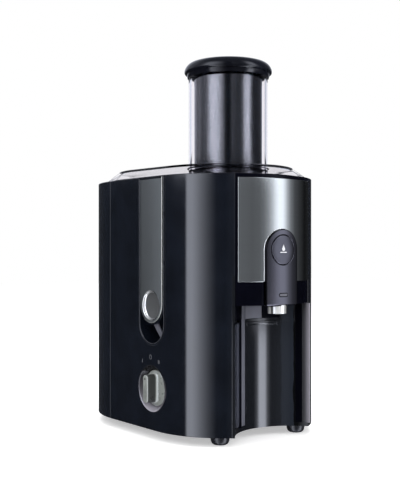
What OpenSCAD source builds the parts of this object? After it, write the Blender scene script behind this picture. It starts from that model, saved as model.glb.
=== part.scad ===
// Centrifugal juicer: motor housing, juice collector, sieve basket, lid with feed tube, pusher
// and pulp container. Millimetres. The origin is under the feed tube's axis, on the plane that
// the juicer stands on. +X is to the right, +Y to the back, +Z up.

/* [Body] */
// Width of the body
body_w = 200; // [196:1:210]
// Room at each side of the bowl, where the latches are
side_room = 16; // [15:0.5:18]
// Room between the bowl and the front wall's outside
front_room = 9; // [8:0.5:10]
// From the middle to the centre of each corner's arc
corner_x = 8; // [6:0.5:10]
// How much larger the front wall's radius is than the corners'
front_more = 14; // [12:0.5:17]
// From the feed tube's axis to the seam with the pulp container
seam_y = 99.5; // [98:0.5:106]
// Height of the feet under the body
foot_h = 10; // [7:1:14]
// Height of the rim that the lid sits on
rim_z = 293; // [291:1:300]
// Wall of the motor housing
shell_t = 2.8; // [2.2:0.2:3.4]
// Gap round what lifts or slides off
slip = 0.4; // [0.3:0.1:0.5]

/* [Feet and base] */
// Radius of a foot where it meets the base
foot_r = 10.5; // [8:0.5:11]
// Thickness of the base plate
base_t = 3; // [2.5:0.5:4]
// From the middle to each foot, across
foot_x = 56; // [50:1:58]
// From the front wall to the front feet
foot_in = 38; // [36:1:41]
// From the feed tube's axis to the rear feet
foot_rear = 150; // [120:1:156]

/* [Jug bay] */
// Radius of the bay's curved back wall
bay_r = 65.8; // [64:0.2:68]
// Depth of the bay behind the front wall's outside
bay_deep = 43; // [41:0.5:44]
// Height of the ceiling over the jug
bay_top = 151; // [146:1:156]
// Height of the step in the bay's wall
ledge_z = 130; // [122:1:136]

/* [Juice collector] */
// Wall of the bowl
bowl_t = 2.4; // [2:0.2:3]
// From the ceiling over the jug up to the deck that the bowl sits over
deck_up = 29; // [27:1:32]
// Gap between the collector's front and the housing at each side of it
panel_gap = 0.5; // [0.4:0.1:1]
// From the ceiling over the jug up to the steel panel's lower edge
panel_up = 25.5; // [21:0.5:30]
// Height of the black rim over the steel panel
rim_h = 4; // [3:0.5:6]
// Thickness of the steel panel
panel_t = 0.9; // [0.6:0.1:1.2]

/* [Spout] */
// Half the width of the spout block
spout_half = 23; // [20:0.5:25]
// From the ceiling over the jug up to the button's middle
button_up = 60; // [55:1:65]
// Radius of the button
button_r = 16; // [13:0.5:18]
// How far the button goes in
button_travel = 3; // [2:0.5:3.5]
// How far the spout block stands proud of the front wall
spout_proud = 2.6; // [1.6:0.2:3]
// Outer radius of the outlet tube
outlet_r = 10.7; // [9:0.1:11.5]
// Wall of the outlet tube
outlet_t = 2.1; // [1.4:0.1:2.6]
// From the front wall's outside to the outlet's axis
outlet_in = 7.7; // [7:0.1:9]
// Length of the outlet tube below the ceiling
outlet_len = 10.4; // [8:0.4:13]

/* [Lid and feed tube] */
// How far the lid's edge is set in from the body
lid_inset = 3.5; // [3:0.5:5]
// Width of the lid's slope
lid_slope = 14.5; // [12:0.5:16]
// Height of the lid over the rim
lid_h = 12.7; // [11:0.5:14]
// Wall of the lid
lid_t = 2.4; // [2:0.2:3]
// From the feed tube's axis to the centre of the lid's round rear end
lid_rear = 81.5; // [78:0.5:84]
// Outer radius of the feed tube
tube_r = 46.3; // [45:0.1:46.8]
// Wall of the feed tube
tube_t = 4.2; // [3.4:0.1:4.4]
// From the rim up to the feed tube's upper end
tube_h = 119.5; // [107:0.5:123]

/* [Pusher] */
// Gap between the pusher and the feed tube
pusher_gap = 1.8; // [1.4:0.1:2.4]
// Wall of the pusher
pusher_t = 2.4; // [2:0.2:3]
// Radius of the cap's lip
cap_r = 51.7; // [50:0.1:54]
// Radius of the cap's flat top
cap_top_r = 41; // [38:0.5:43]
// Height of the cap over the feed tube
cap_h = 17; // [15:0.5:19]

/* [Sieve basket] */
// How much larger the grater disc is than the feed tube, in radius
grater_more = 2.6; // [2:0.1:3.2]
// From the bowl's underside up to the grater disc
grater_up = 25; // [24:0.5:27]
// Gap between the basket's rim and the bowl's wall
basket_gap = 5.6; // [4:0.2:7]
// From the rim down to the basket's rim
basket_down = 10; // [8:0.5:15]

/* [Latches] */
// Width of a latch arm
latch_w = 46; // [42:1:48]
// From the feed tube's axis to the latch's middle
latch_y = 12.3; // [11:0.1:16]
// From the deck up to the latch's pivot
pivot_up = 16; // [14:1:19]
// Height of the middle of the latch's round lower end
latch_end_z = 150.5; // [148:0.5:154]
// Radius of the press pad
pad_r = 17.5; // [15:0.5:19]
// Height of the press pad's middle
pad_z = 148; // [146:0.5:152]
// Height of the finger recess's lower end
pocket_z0 = 107; // [104:1:112]
// Thickness of a latch arm
arm_t = 6.4; // [6:0.2:6.8]
// Radius of a latch's pivot pin
pin_r = 1.8; // [1.5:0.1:2]

/* [Knob] */
// Height of the knob's axis
knob_z = 56.5; // [52:0.5:60]
// Radius of the knob's dished bezel
bezel_r = 26; // [24.5:0.5:28]
// Radius of the knob's disc
knob_r = 21; // [19:0.5:21.5]
// How far the knob's disc lies below the wall
knob_deep = 4.6; // [3.6:0.2:5.4]
// How far the knob's grip stands out from the wall
knob_out = 9; // [7:0.5:11]
// Width of the knob's grip
grip_w = 12; // [9:0.5:14]

/* [Drive] */
// Radius of the motor's shaft
shaft_r = 4; // [3.5:0.1:4.4]
// Half the side of the square stator
stator_half = 38; // [36:0.5:39]
// Radius of the rotor
rotor_r = 25; // [23:0.5:26]
// Gap between rotor and stator
air_gap = 0.6; // [0.5:0.1:0.9]
// Running clearance of shafts and pins
running = 0.05; // [0.03:0.01:0.08]
// Radius of the cooling fan
fan_r = 37; // [33:0.5:38]
// Radius of the drive coupling
coupling_r = 11; // [10:0.1:11.4]

/* [Pulp container] */
// Wall of the pulp container
bin_t = 2.5; // [2:0.1:3]
// From the rim down to the edge that the pulp comes in over
chute_down = 31; // [27:1:37]
// Gap at the seam with the motor housing
seam = 0.5; // [0.4:0.1:0.8]
// From the rim down to the upper edge of the grip at the rear
grip_down = 46; // [36:1:71]

/* [Hidden] */
$fn = 96;
// how far a cutting solid runs past the face that it cuts
over = 1;
// longer than anything here
far = 400;

gloss_black = "#16191f";
dark_grey = "#4d4f58";
satin_silver = "#b9bcc0";
steel = "#8f9498";
clear = [0.8, 0.85, 0.9, 0.35];
copper = "#b06a38";
rubber_black = "#1b1b1d";

// the body's outline: a wide front arc, two corner arcs, straight sides, a round rear
half_w = body_w / 2;
bowl_r = half_w - side_room;
front_d = bowl_r + front_room;
corner_r = half_w - corner_x;
front_arc_r = corner_r + front_more;
front_c = front_arc_r - front_d;
corner_y = front_c - sqrt(pow(front_more, 2) - pow(corner_x, 2));
corner_a = atan2(front_c - corner_y, corner_x);
bay_back = front_d - bay_deep;
bay_c = -bay_back - bay_r;

// where the bay's wall meets the front wall, and what stands between the two wings
meet_y = (pow(front_arc_r, 2) - pow(bay_r, 2) + pow(front_c - bay_c, 2)) / 2 / (front_c - bay_c);
panel_half = sqrt(pow(front_arc_r, 2) - pow(meet_y, 2)) - panel_gap;
foot_front = front_d - foot_in;
outlet_y = front_d - outlet_in;

// heights
base_top = foot_h + base_t;
deck_z = bay_top + deck_up;
deck_t = 3;
ledge_t = 3;
deck_top = deck_z + deck_t;
bowl_z = deck_top + 4;
bowl_floor_t = 3;
flange_t = 3;
panel_z0 = bay_top + panel_up;
panel_z1 = rim_z - rim_h;
button_z = bay_top + button_up;
grater_z = bowl_z + grater_up;
basket_top = rim_z - basket_down;
chute_z = rim_z - chute_down;
tube_top = rim_z + tube_h;
pivot_z = deck_z + pivot_up;

// radii that follow from a neighbour's
basket_r = bowl_r - bowl_t - basket_gap;
grater_r = tube_r + grater_more;
pusher_r = tube_r - tube_t - pusher_gap;

// latches
arm_out = 0.4;
skin_t = 0.8;
arm_x = half_w - arm_out;
arm_in = arm_x - arm_t;
pocket_gap = 0.3;
pocket_t = 2;
pocket_half = latch_w / 2 + pocket_gap;
pocket_shallow = 11;
pocket_deep = 23;
pocket_step = deck_z - pocket_t;
pin_x = half_w - 4.4;
arm_top = rim_z - 0.3;
notch_half = 7;
swing_room = 4.5;

// drive heights
shaft_z0 = 26;
lower_z = 30;
bearing_h = 7;
bearing_r = 11;
bracket_t = 4;
fan_z = 42;
fan_h = 10;
comm_z = 56;
comm_h = 12;
comm_r = 11;
stack_z = 84;
stack_h = 50;
winding_h = 12;
upper_z = 150;
coupling_z0 = deck_top + 3;
coupling_z1 = grater_z - 6;
bolt_at = stator_half - 5;
bolt_r = 2;
bush_r = 5;
bush_at = 26;

// hub of the basket and the collector's collar round it
socket_r = coupling_r + 0.35;
socket_t = 2;
collar_r = socket_r + socket_t + 0.8;
collar_t = 2.8;
hub_z = grater_z - 3.4;

module ring(r_out, r_in, h) {
    difference() {
        cylinder(h = h, r = r_out);
        translate([0, 0, -over]) cylinder(h = h + 2 * over, r = r_in);
    }
}

module both_sides() {
    children();
    mirror([1, 0, 0]) children();
}

// points along an arc, from angle a0 to a1
function arc(c, r, a0, a1, n) =
    [for (i = [0 : n]) let (a = a0 + (a1 - a0) * i / n) [c[0] + r * cos(a), c[1] + r * sin(a)]];
// the same without the last point
function arc_open(c, r, a0, a1, n) =
    [for (i = [0 : n - 1]) let (a = a0 + (a1 - a0) * i / n) [c[0] + r * cos(a), c[1] + r * sin(a)]];

// the body's outline, set in by an even distance; rear is where its round end starts
module plan(inset, rear = seam_y) {
    polygon(concat(
        arc_open([-corner_x, corner_y], corner_r - inset, 180, 180 + corner_a, 16),
        arc_open([0, front_c], front_arc_r - inset, 180 + corner_a, 360 - corner_a, 20),
        arc([corner_x, corner_y], corner_r - inset, 360 - corner_a, 360, 16),
        arc([0, rear], half_w - inset, 0, 180, 48)));
}

// everything in front of a line across the body
module before(y) {
    translate([-far, y - 2 * far]) square([2 * far, 2 * far]);
}

module behind(y) {
    translate([-far, y]) square([2 * far, 2 * far]);
}

// a strip along the middle, as wide as twice half
module middle(half) {
    translate([-half, -far]) square([2 * half, 2 * far]);
}

module bay_disc(r) {
    translate([0, bay_c]) circle(r, $fn = 160);
}

// an upright slot with a round lower end, seen from the side; x is to the back, y is up
module slot_outline(half, z0, z1) {
    translate([latch_y, z0 + half]) circle(half);
    translate([latch_y - half, z0 + half]) square([2 * half, z1 - z0 - half]);
}

// stands a side-view outline on the left wall, reaching from x0 towards the middle
module on_left(x0, depth) {
    translate([-x0, 0, 0]) rotate([90, 0, 90]) linear_extrude(depth) children();
}

// a turned shape about an axis that points out of the left wall
module turned_left(y, z) {
    translate([-half_w, y, z]) rotate([0, -90, 0]) rotate_extrude() children();
}

module rod_left(x_out, x_in, y, z, r) {
    translate([-x_out, y, z]) rotate([0, 90, 0]) cylinder(h = x_out - x_in, r = r);
}

/* ---- motor housing and what is fixed in it ---- */

screw_in = 6.6;
screw_y = -24;
screw_spots = [[half_w - screw_in, seam_y - 14],
    [corner_x + sqrt(pow(corner_r - screw_in, 2) - pow(screw_y - corner_y, 2)), screw_y]];
screw_r = 1.5;
screw_head_r = 3;
boss_r = 4.6;
boss_h = 18;
gland_y = 60;
gland_z = 34;
gland_r = 8;
cord_hole_r = 3.75;
vent_w = 3;
vent_l = 50;
vent_step = 8;

module housing_walls() {
    difference() {
        intersection() {
            plan(0);
            before(seam_y);
        }
        intersection() {
            plan(shell_t);
            before(seam_y - shell_t);
        }
    }
}

// outside of a latch's pocket: deep under the pivot, shallow over it
module pocket_form() {
    on_left(half_w + over, pocket_deep + pocket_t + over)
        slot_outline(pocket_half + pocket_t, pocket_z0 - pocket_t, pocket_step + pocket_t);
    on_left(half_w + over, pocket_shallow + pocket_t + over)
        translate([latch_y - pocket_half - pocket_t, pocket_step])
            square([2 * (pocket_half + pocket_t), rim_z - pocket_step]);
}

module pocket_room() {
    on_left(half_w + over, pocket_deep + over) slot_outline(pocket_half, pocket_z0, pocket_step);
    on_left(half_w + over, pocket_shallow + over)
        translate([latch_y - pocket_half, pocket_step - over])
            square([2 * pocket_half, rim_z - pocket_step + 2 * over]);
}

module pin_bore(r) {
    translate([-pin_x, latch_y - pocket_half - 2 * pocket_t, pivot_z]) rotate([-90, 0, 0])
        cylinder(h = 2 * pocket_half + 4 * pocket_t, r = r);
}

module motor_housing() {
    color(gloss_black) difference() {
        union() {
            translate([0, 0, foot_h]) linear_extrude(deck_top - foot_h) difference() {
                housing_walls();
                bay_disc(bay_r + shell_t);
            }
            translate([0, 0, deck_top]) linear_extrude(rim_z - deck_top) difference() {
                housing_walls();
                intersection() {
                    middle(panel_half + slip);
                    before(-bay_back);
                }
            }
            // shelf under the deck
            translate([0, 0, deck_z - ledge_t]) linear_extrude(ledge_t) difference() {
                intersection() {
                    plan(shell_t);
                    before(seam_y - shell_t);
                }
                intersection() {
                    plan(shell_t + 4);
                    before(seam_y - shell_t - 4);
                }
                bay_disc(bay_r + shell_t);
            }
            // bosses for the screws of the base
            translate([0, 0, base_top]) both_sides() for (p = screw_spots)
                translate(p) cylinder(h = boss_h, r = boss_r);
        }
        both_sides() pocket_form();
        // way for the pulp into the container
        translate([-half_w * 0.72, seam_y - shell_t - over, chute_z])
            cube([half_w * 1.44, shell_t + 2 * over, rim_z]);
        // way for the base plate under the rear wall
        translate([-half_w + shell_t, seam_y - shell_t - over, 0])
            cube([body_w - 2 * shell_t, shell_t + 2 * over, base_top + slip]);
        // seat of the knob's bezel
        rod_left(half_w + over, half_w - 2 * shell_t, latch_y, knob_z, bezel_r + 0.1);
        // hole of the cord gland
        mirror([1, 0, 0])
            rod_left(half_w + over, half_w - 2 * shell_t, gland_y, gland_z, gland_r + running);
        // pilot holes of the base's screws
        translate([0, 0, foot_h]) both_sides() for (p = screw_spots)
            translate(p) cylinder(h = boss_h + base_t - over, r = screw_r + running);
    }
}

// curved wall behind the jug, from one wing of the housing to the other
module bay_wall() {
    groove_h = 3.6;
    groove_deep = 1.4;
    color(gloss_black) difference() {
        translate([0, 0, foot_h]) linear_extrude(deck_top - foot_h) intersection() {
            difference() {
                bay_disc(bay_r + shell_t);
                bay_disc(bay_r);
            }
            plan(0);
        }
        translate([0, bay_c, ledge_z]) cylinder(h = groove_h, r = bay_r + groove_deep, $fn = 160);
    }
}

module latch_pocket() {
    difference() {
        intersection() {
            pocket_form();
            linear_extrude(far) plan(0);
        }
        pocket_room();
        pin_bore(pin_r + running / 2);
    }
}

module latch_pocket_left() {
    color(gloss_black) latch_pocket();
}

module latch_pocket_right() {
    color(gloss_black) mirror([1, 0, 0]) latch_pocket();
}

module base_plate() {
    color(dark_grey) difference() {
        translate([0, 0, foot_h]) linear_extrude(base_t) difference() {
            plan(shell_t + slip);
            bay_disc(bay_r + shell_t + slip);
        }
        both_sides() for (p = screw_spots) translate(p) {
            translate([0, 0, foot_h - over]) cylinder(h = base_t + 2 * over, r = screw_r + running);
            translate([0, 0, foot_h - over]) cylinder(h = 2.2 + over, r = screw_head_r + 0.2);
        }
        // slots that let the fan's air out
        for (i = [-4 : 4]) translate([i * vent_step - vent_w / 2, -vent_l / 2, foot_h - over])
            cube([vent_w, vent_l, base_t + 2 * over]);
    }
}

module rubber_feet() {
    color(rubber_black) both_sides() for (y = [-foot_front, foot_rear])
        translate([foot_x, y, 0]) rotate_extrude()
            polygon(concat([[0, 0], [foot_r * 0.52, 0]],
                arc([foot_r * 0.52, foot_h * 0.55], foot_r * 0.48, -75, 0, 6),
                [[foot_r, foot_h], [0, foot_h]]));
}

module deck_plate() {
    color(dark_grey) difference() {
        translate([0, 0, deck_z]) linear_extrude(deck_t) difference() {
            intersection() {
                plan(shell_t + slip);
                before(seam_y - shell_t - slip);
            }
            bay_disc(bay_r + shell_t + slip);
            circle(collar_r - 0.6);
            // round the pockets, which stop under the deck where they are deep
            both_sides() translate([-half_w, latch_y - pocket_half - pocket_t - slip])
                square([pocket_shallow + pocket_t + slip, 2 * (pocket_half + pocket_t + slip)]);
        }
    }
}

module base_screws() {
    color(steel) both_sides() for (p = screw_spots) translate([p[0], p[1], foot_h + 0.2]) {
        cylinder(h = 2, r = screw_head_r);
        cylinder(h = boss_h - 2, r = screw_r);
    }
}

module cord_gland() {
    color(rubber_black) mirror([1, 0, 0]) difference() {
        union() {
            rod_left(half_w + 1.6, half_w - shell_t - 4, gland_y, gland_z, gland_r);
            rod_left(half_w + 1.6, half_w, gland_y, gland_z, gland_r + 2);
        }
        rod_left(half_w + 2 * over, half_w - shell_t - 6, gland_y, gland_z, cord_hole_r);
    }
}

/* ---- motor ---- */

module at_bolts(d) {
    for (sx = [-1, 1], sy = [-1, 1]) translate([sx * d, sy * d, 0]) children();
}

module at_bushes() {
    for (a = [0 : 90 : 270]) rotate([0, 0, a]) translate([bush_at, 0, 0]) children();
}

module bracket(z, seat_z, seat_h) {
    difference() {
        union() {
            translate([-stator_half, -stator_half, z])
                cube([2 * stator_half, 2 * stator_half, bracket_t]);
            translate([0, 0, seat_z]) cylinder(h = seat_h, r = bearing_r + 3);
        }
        translate([0, 0, seat_z - over]) cylinder(h = seat_h + bracket_t + 2 * over, r = bearing_r);
        translate([0, 0, z - over]) at_bolts(bolt_at)
            cylinder(h = bracket_t + 2 * over, r = bolt_r + running, $fn = 32);
    }
}

module upper_bracket() {
    color("#6f747a") bracket(upper_z, upper_z, bearing_h);
}

module lower_bracket() {
    color("#6f747a") bracket(lower_z, lower_z, bearing_h);
}

module bearing(z) {
    color(satin_silver) translate([0, 0, z]) ring(bearing_r, shaft_r + running, bearing_h);
}

module upper_bearing() {
    bearing(upper_z);
}

module lower_bearing() {
    bearing(lower_z);
}

module stator_stack() {
    color("#5b5e63") difference() {
        translate([-stator_half, -stator_half, stack_z])
            cube([2 * stator_half, 2 * stator_half, stack_h]);
        translate([0, 0, stack_z - over]) cylinder(h = stack_h + 2 * over, r = rotor_r + air_gap);
        translate([0, 0, stack_z - over]) at_bolts(bolt_at)
            cylinder(h = stack_h + 2 * over, r = bolt_r + running, $fn = 32);
    }
}

module stator_windings() {
    color(copper) for (z = [stack_z - winding_h, stack_z + stack_h]) translate([0, 0, z])
        rotate_extrude() difference() {
            translate([rotor_r + 2, 0]) square([stator_half - rotor_r - 4, winding_h]);
            translate([stator_half - 2, z < stack_z ? 0 : winding_h]) circle(3, $fn = 24);
        }
}

module carbon_brushes() {
    brush_w = 6;
    edge = 2;
    color("#2c2c2e") for (s = [0, 180]) rotate([0, 0, s])
        translate([comm_r + running, -brush_w / 2, comm_z + edge])
            cube([stator_half - comm_r - brush_w, brush_w, comm_h - 2 * edge]);
}

module motor_screws() {
    color(steel) at_bolts(bolt_at) {
        translate([0, 0, lower_z - 4])
            cylinder(h = upper_z + bracket_t - lower_z + 4, r = bolt_r, $fn = 32);
        translate([0, 0, upper_z + bracket_t]) cylinder(h = 3, r = 3.4, $fn = 32);
        translate([0, 0, lower_z - 4]) cylinder(h = 4, r = 3.4, $fn = 6);
    }
}

module mounting_bushes() {
    color(rubber_black) translate([0, 0, upper_z + bracket_t]) at_bushes()
        cylinder(h = deck_z - upper_z - bracket_t, r = bush_r, $fn = 40);
}

module shaft_seal() {
    color(rubber_black) translate([0, 0, deck_z - 2])
        ring(collar_r - 0.7, shaft_r + running, deck_t + 3);
}

module motor_shaft() {
    color(satin_silver) translate([0, 0, shaft_z0])
        cylinder(h = coupling_z1 - 2 - shaft_z0, r = shaft_r);
}

module rotor_core() {
    color("#5b5e63") difference() {
        union() {
            translate([0, 0, stack_z]) cylinder(h = stack_h, r = rotor_r);
            translate([0, 0, stack_z - 9]) cylinder(h = stack_h + 16, r = rotor_r - 6);
        }
        translate([0, 0, stack_z - 9 - over]) cylinder(h = stack_h + 18, r = shaft_r);
        // slots for the wire
        for (i = [0 : 11]) rotate([0, 0, i * 30]) translate([rotor_r - 4, -1.2, stack_z - over])
            cube([5, 2.4, stack_h + 2 * over]);
    }
}

module commutator() {
    color(copper) translate([0, 0, comm_z]) ring(comm_r, shaft_r, comm_h);
}

module cooling_fan() {
    color(dark_grey) translate([0, 0, fan_z]) {
        ring(9, shaft_r, fan_h);
        translate([0, 0, fan_h - 1.6]) ring(fan_r, 8, 1.6);
        for (i = [0 : 9]) rotate([0, 0, i * 36]) translate([8, -0.8, 0])
            rotate([0, 0, 14]) cube([fan_r - 11, 1.6, fan_h - 1]);
    }
}

// three lugs that drive the basket's hub
module drive_coupling() {
    color(dark_grey) difference() {
        translate([0, 0, coupling_z0]) union() {
            cylinder(h = coupling_z1 - coupling_z0, r = coupling_r - 3);
            cylinder(h = 3, r = coupling_r);
            for (i = [0 : 2]) rotate([0, 0, i * 120]) translate([coupling_r - 5, -2.5, 0])
                cube([4.4, 5, coupling_z1 - coupling_z0]);
        }
        translate([0, 0, coupling_z0 - over])
            cylinder(h = coupling_z1 - coupling_z0 + over - 2, r = shaft_r);
    }
}

/* ---- controls ---- */

switch_x0 = half_w - 28;
bezel_back = half_w - knob_deep - 4;

module bezel_profile() {
    wall = knob_r + 0.6;
    polygon([[bezel_r, 0], [bezel_r, -knob_deep - 4], [4, -knob_deep - 4], [4, -knob_deep - 2.6],
             [wall, -knob_deep - 2.6], [wall, -knob_deep], [bezel_r - 0.8, 0]]);
}

module knob_bezel() {
    color(dark_grey) turned_left(latch_y, knob_z) bezel_profile();
}

module knob() {
    disc_t = 2.2;
    grip_l = 2 * knob_r - 2;
    color(satin_silver) difference() {
        union() {
            rod_left(half_w - knob_deep, half_w - knob_deep - disc_t, latch_y, knob_z, knob_r);
            intersection() {
                // a bar with round ends, from the disc out to the grip's face
                on_left(half_w + knob_out, knob_out + knob_deep + disc_t / 2) {
                    translate([latch_y - grip_w / 2, knob_z - grip_l / 2 + grip_w / 2])
                        square([grip_w, grip_l - grip_w]);
                    for (s = [-1, 1]) translate([latch_y, knob_z + s * (grip_l - grip_w) / 2])
                        circle(grip_w / 2);
                }
                rod_left(half_w + 2 * knob_out, half_w - 2 * knob_deep, latch_y, knob_z, knob_r);
            }
        }
        rod_left(half_w - knob_deep - disc_t / 2, half_w - 3 * knob_deep, latch_y, knob_z, 3);
    }
}

module knob_shaft() {
    color(steel) rod_left(half_w - knob_deep - 1.1, switch_x0 + 4, latch_y, knob_z, 3);
}

module speed_switch() {
    color(rubber_black) difference() {
        translate([-bezel_back, latch_y - 13, knob_z - 14]) cube([bezel_back - switch_x0, 26, 28]);
        rod_left(half_w, switch_x0 + 4, latch_y, knob_z, 3 + running);
    }
}

board_in = 36;
board_x = half_w - board_in;
board_l = 50;
board_h = 92;
board_t = 1.6;

// stands on the base and against the rear wall, with a capacitor and a relay
module control_board() {
    cap = [8, 22];
    relay = [14, 22, 26];
    edge = 6;
    color("#2f5f45") translate([-board_x, seam_y - shell_t - board_l, base_top])
        cube([board_t, board_l, board_h]);
    color("#3a3c44") {
        rod_left(board_x, board_x - board_t - cap[1], seam_y - shell_t - edge - cap[0],
            base_top + board_h - edge - cap[0], cap[0]);
        translate([-board_x + board_t, seam_y - shell_t - board_l + edge, base_top + edge])
            cube(relay);
    }
}

module interlock_switch() {
    color(rubber_black) translate([-half_w + pocket_deep + pocket_t, latch_y - 10, deck_z - 20])
        cube([9, 20, 12]);
}

/* ---- latches, left and right ---- */

module latch_pins() {
    color(satin_silver) both_sides()
        translate([-pin_x, latch_y - pocket_half - pocket_t, pivot_z]) rotate([-90, 0, 0])
            cylinder(h = 2 * (pocket_half + pocket_t), r = pin_r);
}

// points of a coil spring's wire, swept as a ring at each step
function coil_ring(k, n, r, wire, pitch) =
    let (a = 360 * k / n, z = pitch * k / n)
    [for (j = [0 : 5]) let (b = 60 * j)
        [(r + wire * cos(b)) * cos(a), (r + wire * cos(b)) * sin(a), z + wire * sin(b)]];

module coil(r, wire, pitch, turns) {
    n = 14;
    last = n * turns;
    points = [for (k = [0 : last]) each coil_ring(k, n, r, wire, pitch)];
    sides = [for (k = [0 : last - 1]) for (j = [0 : 5])
        [k * 6 + j, k * 6 + (j + 1) % 6, (k + 1) * 6 + (j + 1) % 6, (k + 1) * 6 + j]];
    polyhedron(points, concat(sides, [[5, 4, 3, 2, 1, 0]], [[for (j = [0 : 5]) last * 6 + j]]));
}

module latch_springs() {
    wire = 0.4;
    turns = 6;
    pitch = 1.6;
    color(steel) both_sides() translate([-pin_x, latch_y - turns * pitch / 2, pivot_z])
        rotate([-90, 0, 0]) coil(pin_r + wire + 0.1, wire, pitch, turns);
}

module latch_arm() {
    difference() {
        on_left(arm_x, arm_t) slot_outline(latch_w / 2, latch_end_z - latch_w / 2, arm_top);
        pin_bore(pin_r + running);
        // room for the spring round the pin
        translate([-half_w, latch_y - notch_half, pivot_z - swing_room])
            cube([half_w, 2 * notch_half, 2 * swing_room]);
    }
}

module latch_skin() {
    on_left(arm_x + skin_t, skin_t)
        slot_outline(latch_w / 2 - 0.3, latch_end_z - latch_w / 2 + 0.3, rim_z - 3);
}

// a dished disc with a rounded lip
module latch_pad() {
    lip = 1.8;
    translate([-arm_x - skin_t, latch_y + 0.2, pad_z]) rotate([0, -90, 0]) rotate_extrude()
        polygon([[0, 0], [pad_r, 0], [pad_r, lip * 0.4], [pad_r - 0.8, lip], [pad_r - 2, lip],
                 [pad_r - 4.6, 0.7], [0, 0.5]]);
}

module latch_arm_left() {
    color(gloss_black) latch_arm();
}

module latch_arm_right() {
    color(gloss_black) mirror([1, 0, 0]) latch_arm();
}

module latch_skin_left() {
    color(steel) latch_skin();
}

module latch_skin_right() {
    color(steel) mirror([1, 0, 0]) latch_skin();
}

module latch_pad_left() {
    color(satin_silver) latch_pad();
}

module latch_pad_right() {
    color(satin_silver) mirror([1, 0, 0]) latch_pad();
}

/* ---- juice collector ---- */

// arch of the spout block, seen from the front, run through the front wall
module arch(grow, depth) {
    translate([0, -far / 2, 0]) rotate([-90, 0, 0]) linear_extrude(depth) mirror([0, 1]) {
        translate([0, button_z]) circle(spout_half + grow);
        translate([-spout_half - grow, bay_top - over * grow])
            square([2 * (spout_half + grow), button_z - bay_top + over * grow]);
    }
}

module nose_outline(inset) {
    intersection() {
        bay_disc(bay_r - slip - inset);
        plan(shell_t + slip + inset);
    }
}

nose_t = 2.4;
block_deep = 8.6;
carrier_t = 2.3;
button_back = front_d + spout_proud - 4.2;
boss_y = bowl_r + 1.4;
spring_r = 7;
spring_wire = 0.3;

// where the spout block sits: the arch, out from the block's curved back
module block_room(grow = 0) {
    difference() {
        arch(grow, far / 2 - bay_back);
        translate([0, 0, bay_top - 2 * over]) linear_extrude(far) plan(block_deep - spout_proud);
    }
}

// keeps the collector's front clear of the housing on both sides of the bay
module clear_of_wings() {
    difference() {
        children();
        linear_extrude(deck_top + slip) difference() {
            plan(-over);
            bay_disc(bay_r - slip);
        }
    }
}

module juice_collector() {
    chute_half = half_w * 0.62;
    chute_y = bowl_r * 0.66;
    color(gloss_black) difference() {
        union() {
            translate([0, 0, bowl_z]) cylinder(h = rim_z - flange_t - bowl_z, r = bowl_r);
            // foot ring that stands on the deck, open where the nose is
            difference() {
                translate([0, 0, deck_top + 0.3]) ring(bowl_r - 12, bowl_r - 15, bowl_z - deck_top);
                linear_extrude(bowl_z) nose_outline(-slip);
            }
        }
        translate([0, 0, bowl_z + bowl_floor_t]) difference() {
            cylinder(h = rim_z, r = bowl_r - bowl_t);
            cylinder(h = hub_z - 1.6 - bowl_z - bowl_floor_t, r = collar_r + collar_t);
        }
        translate([0, 0, deck_top]) cylinder(h = rim_z, r = collar_r);
        // drain into the nose
        translate([0, -bowl_r + 20, bowl_z - over]) cylinder(h = 8, r = 12);
        // way for the pulp over the bowl's rear edge
        translate([-chute_half, bowl_r * 0.5, basket_top - 3]) cube([2 * chute_half, far, rim_z]);
    }
    color(gloss_black) {
        // chute from the bowl's edge over into the container
        translate([-chute_half, chute_y, basket_top - 6]) difference() {
            cube([2 * chute_half, seam_y + 4 - chute_y, 3]);
            translate([chute_half, -chute_y, -over]) cylinder(h = 5, r = bowl_r - over);
        }
        // boss behind the button
        difference() {
            translate([0, -boss_y, button_z]) rotate([-90, 0, 0]) cylinder(h = 3, r = 9);
            cylinder(h = far, r = bowl_r - over);
        }
    }
}

// hollow foot of the collector that fills the top of the bay and leads to the outlet
module collector_nose() {
    roof_t = 2;
    color(gloss_black) difference() {
        translate([0, 0, bay_top]) linear_extrude(bowl_z - bay_top) nose_outline(0);
        translate([0, 0, bay_top + nose_t]) linear_extrude(bowl_z - roof_t - bay_top - nose_t)
            nose_outline(nose_t);
        translate([0, -bowl_r + 20, bowl_z - roof_t - over]) cylinder(h = 8, r = 12);
        // mouth of the outlet, and the place of the spout block
        translate([0, -outlet_y, bay_top - over]) cylinder(h = 8, r = outlet_r - outlet_t);
        block_room();
    }
}

// the collector's black front, between the nose and the rim
module panel_carrier() {
    color(gloss_black) clear_of_wings() difference() {
        union() {
            translate([0, 0, bay_top]) linear_extrude(rim_z - flange_t - bay_top) intersection() {
                difference() {
                    plan(panel_t);
                    plan(panel_t + carrier_t);
                }
                middle(panel_half);
                before(-bay_back);
            }
            // rim over the steel panel
            translate([0, 0, panel_z1]) linear_extrude(rim_h) intersection() {
                difference() {
                    plan(0);
                    plan(panel_t + carrier_t);
                }
                middle(panel_half);
                before(-bay_back);
            }
            // rim plate between the bowl and the housing's walls
            translate([0, 0, rim_z - flange_t]) linear_extrude(flange_t) difference() {
                intersection() {
                    plan(shell_t + slip);
                    before(seam_y - shell_t - slip);
                }
                both_sides() translate([-half_w, latch_y - pocket_half - pocket_t - slip])
                    square([pocket_shallow + pocket_t + slip, 2 * (pocket_half + pocket_t + slip)]);
                circle(bowl_r - bowl_t);
                translate([-half_w * 0.62, bowl_r * 0.5]) square([half_w * 1.24, far]);
            }
        }
        block_room();
    }
}

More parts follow.
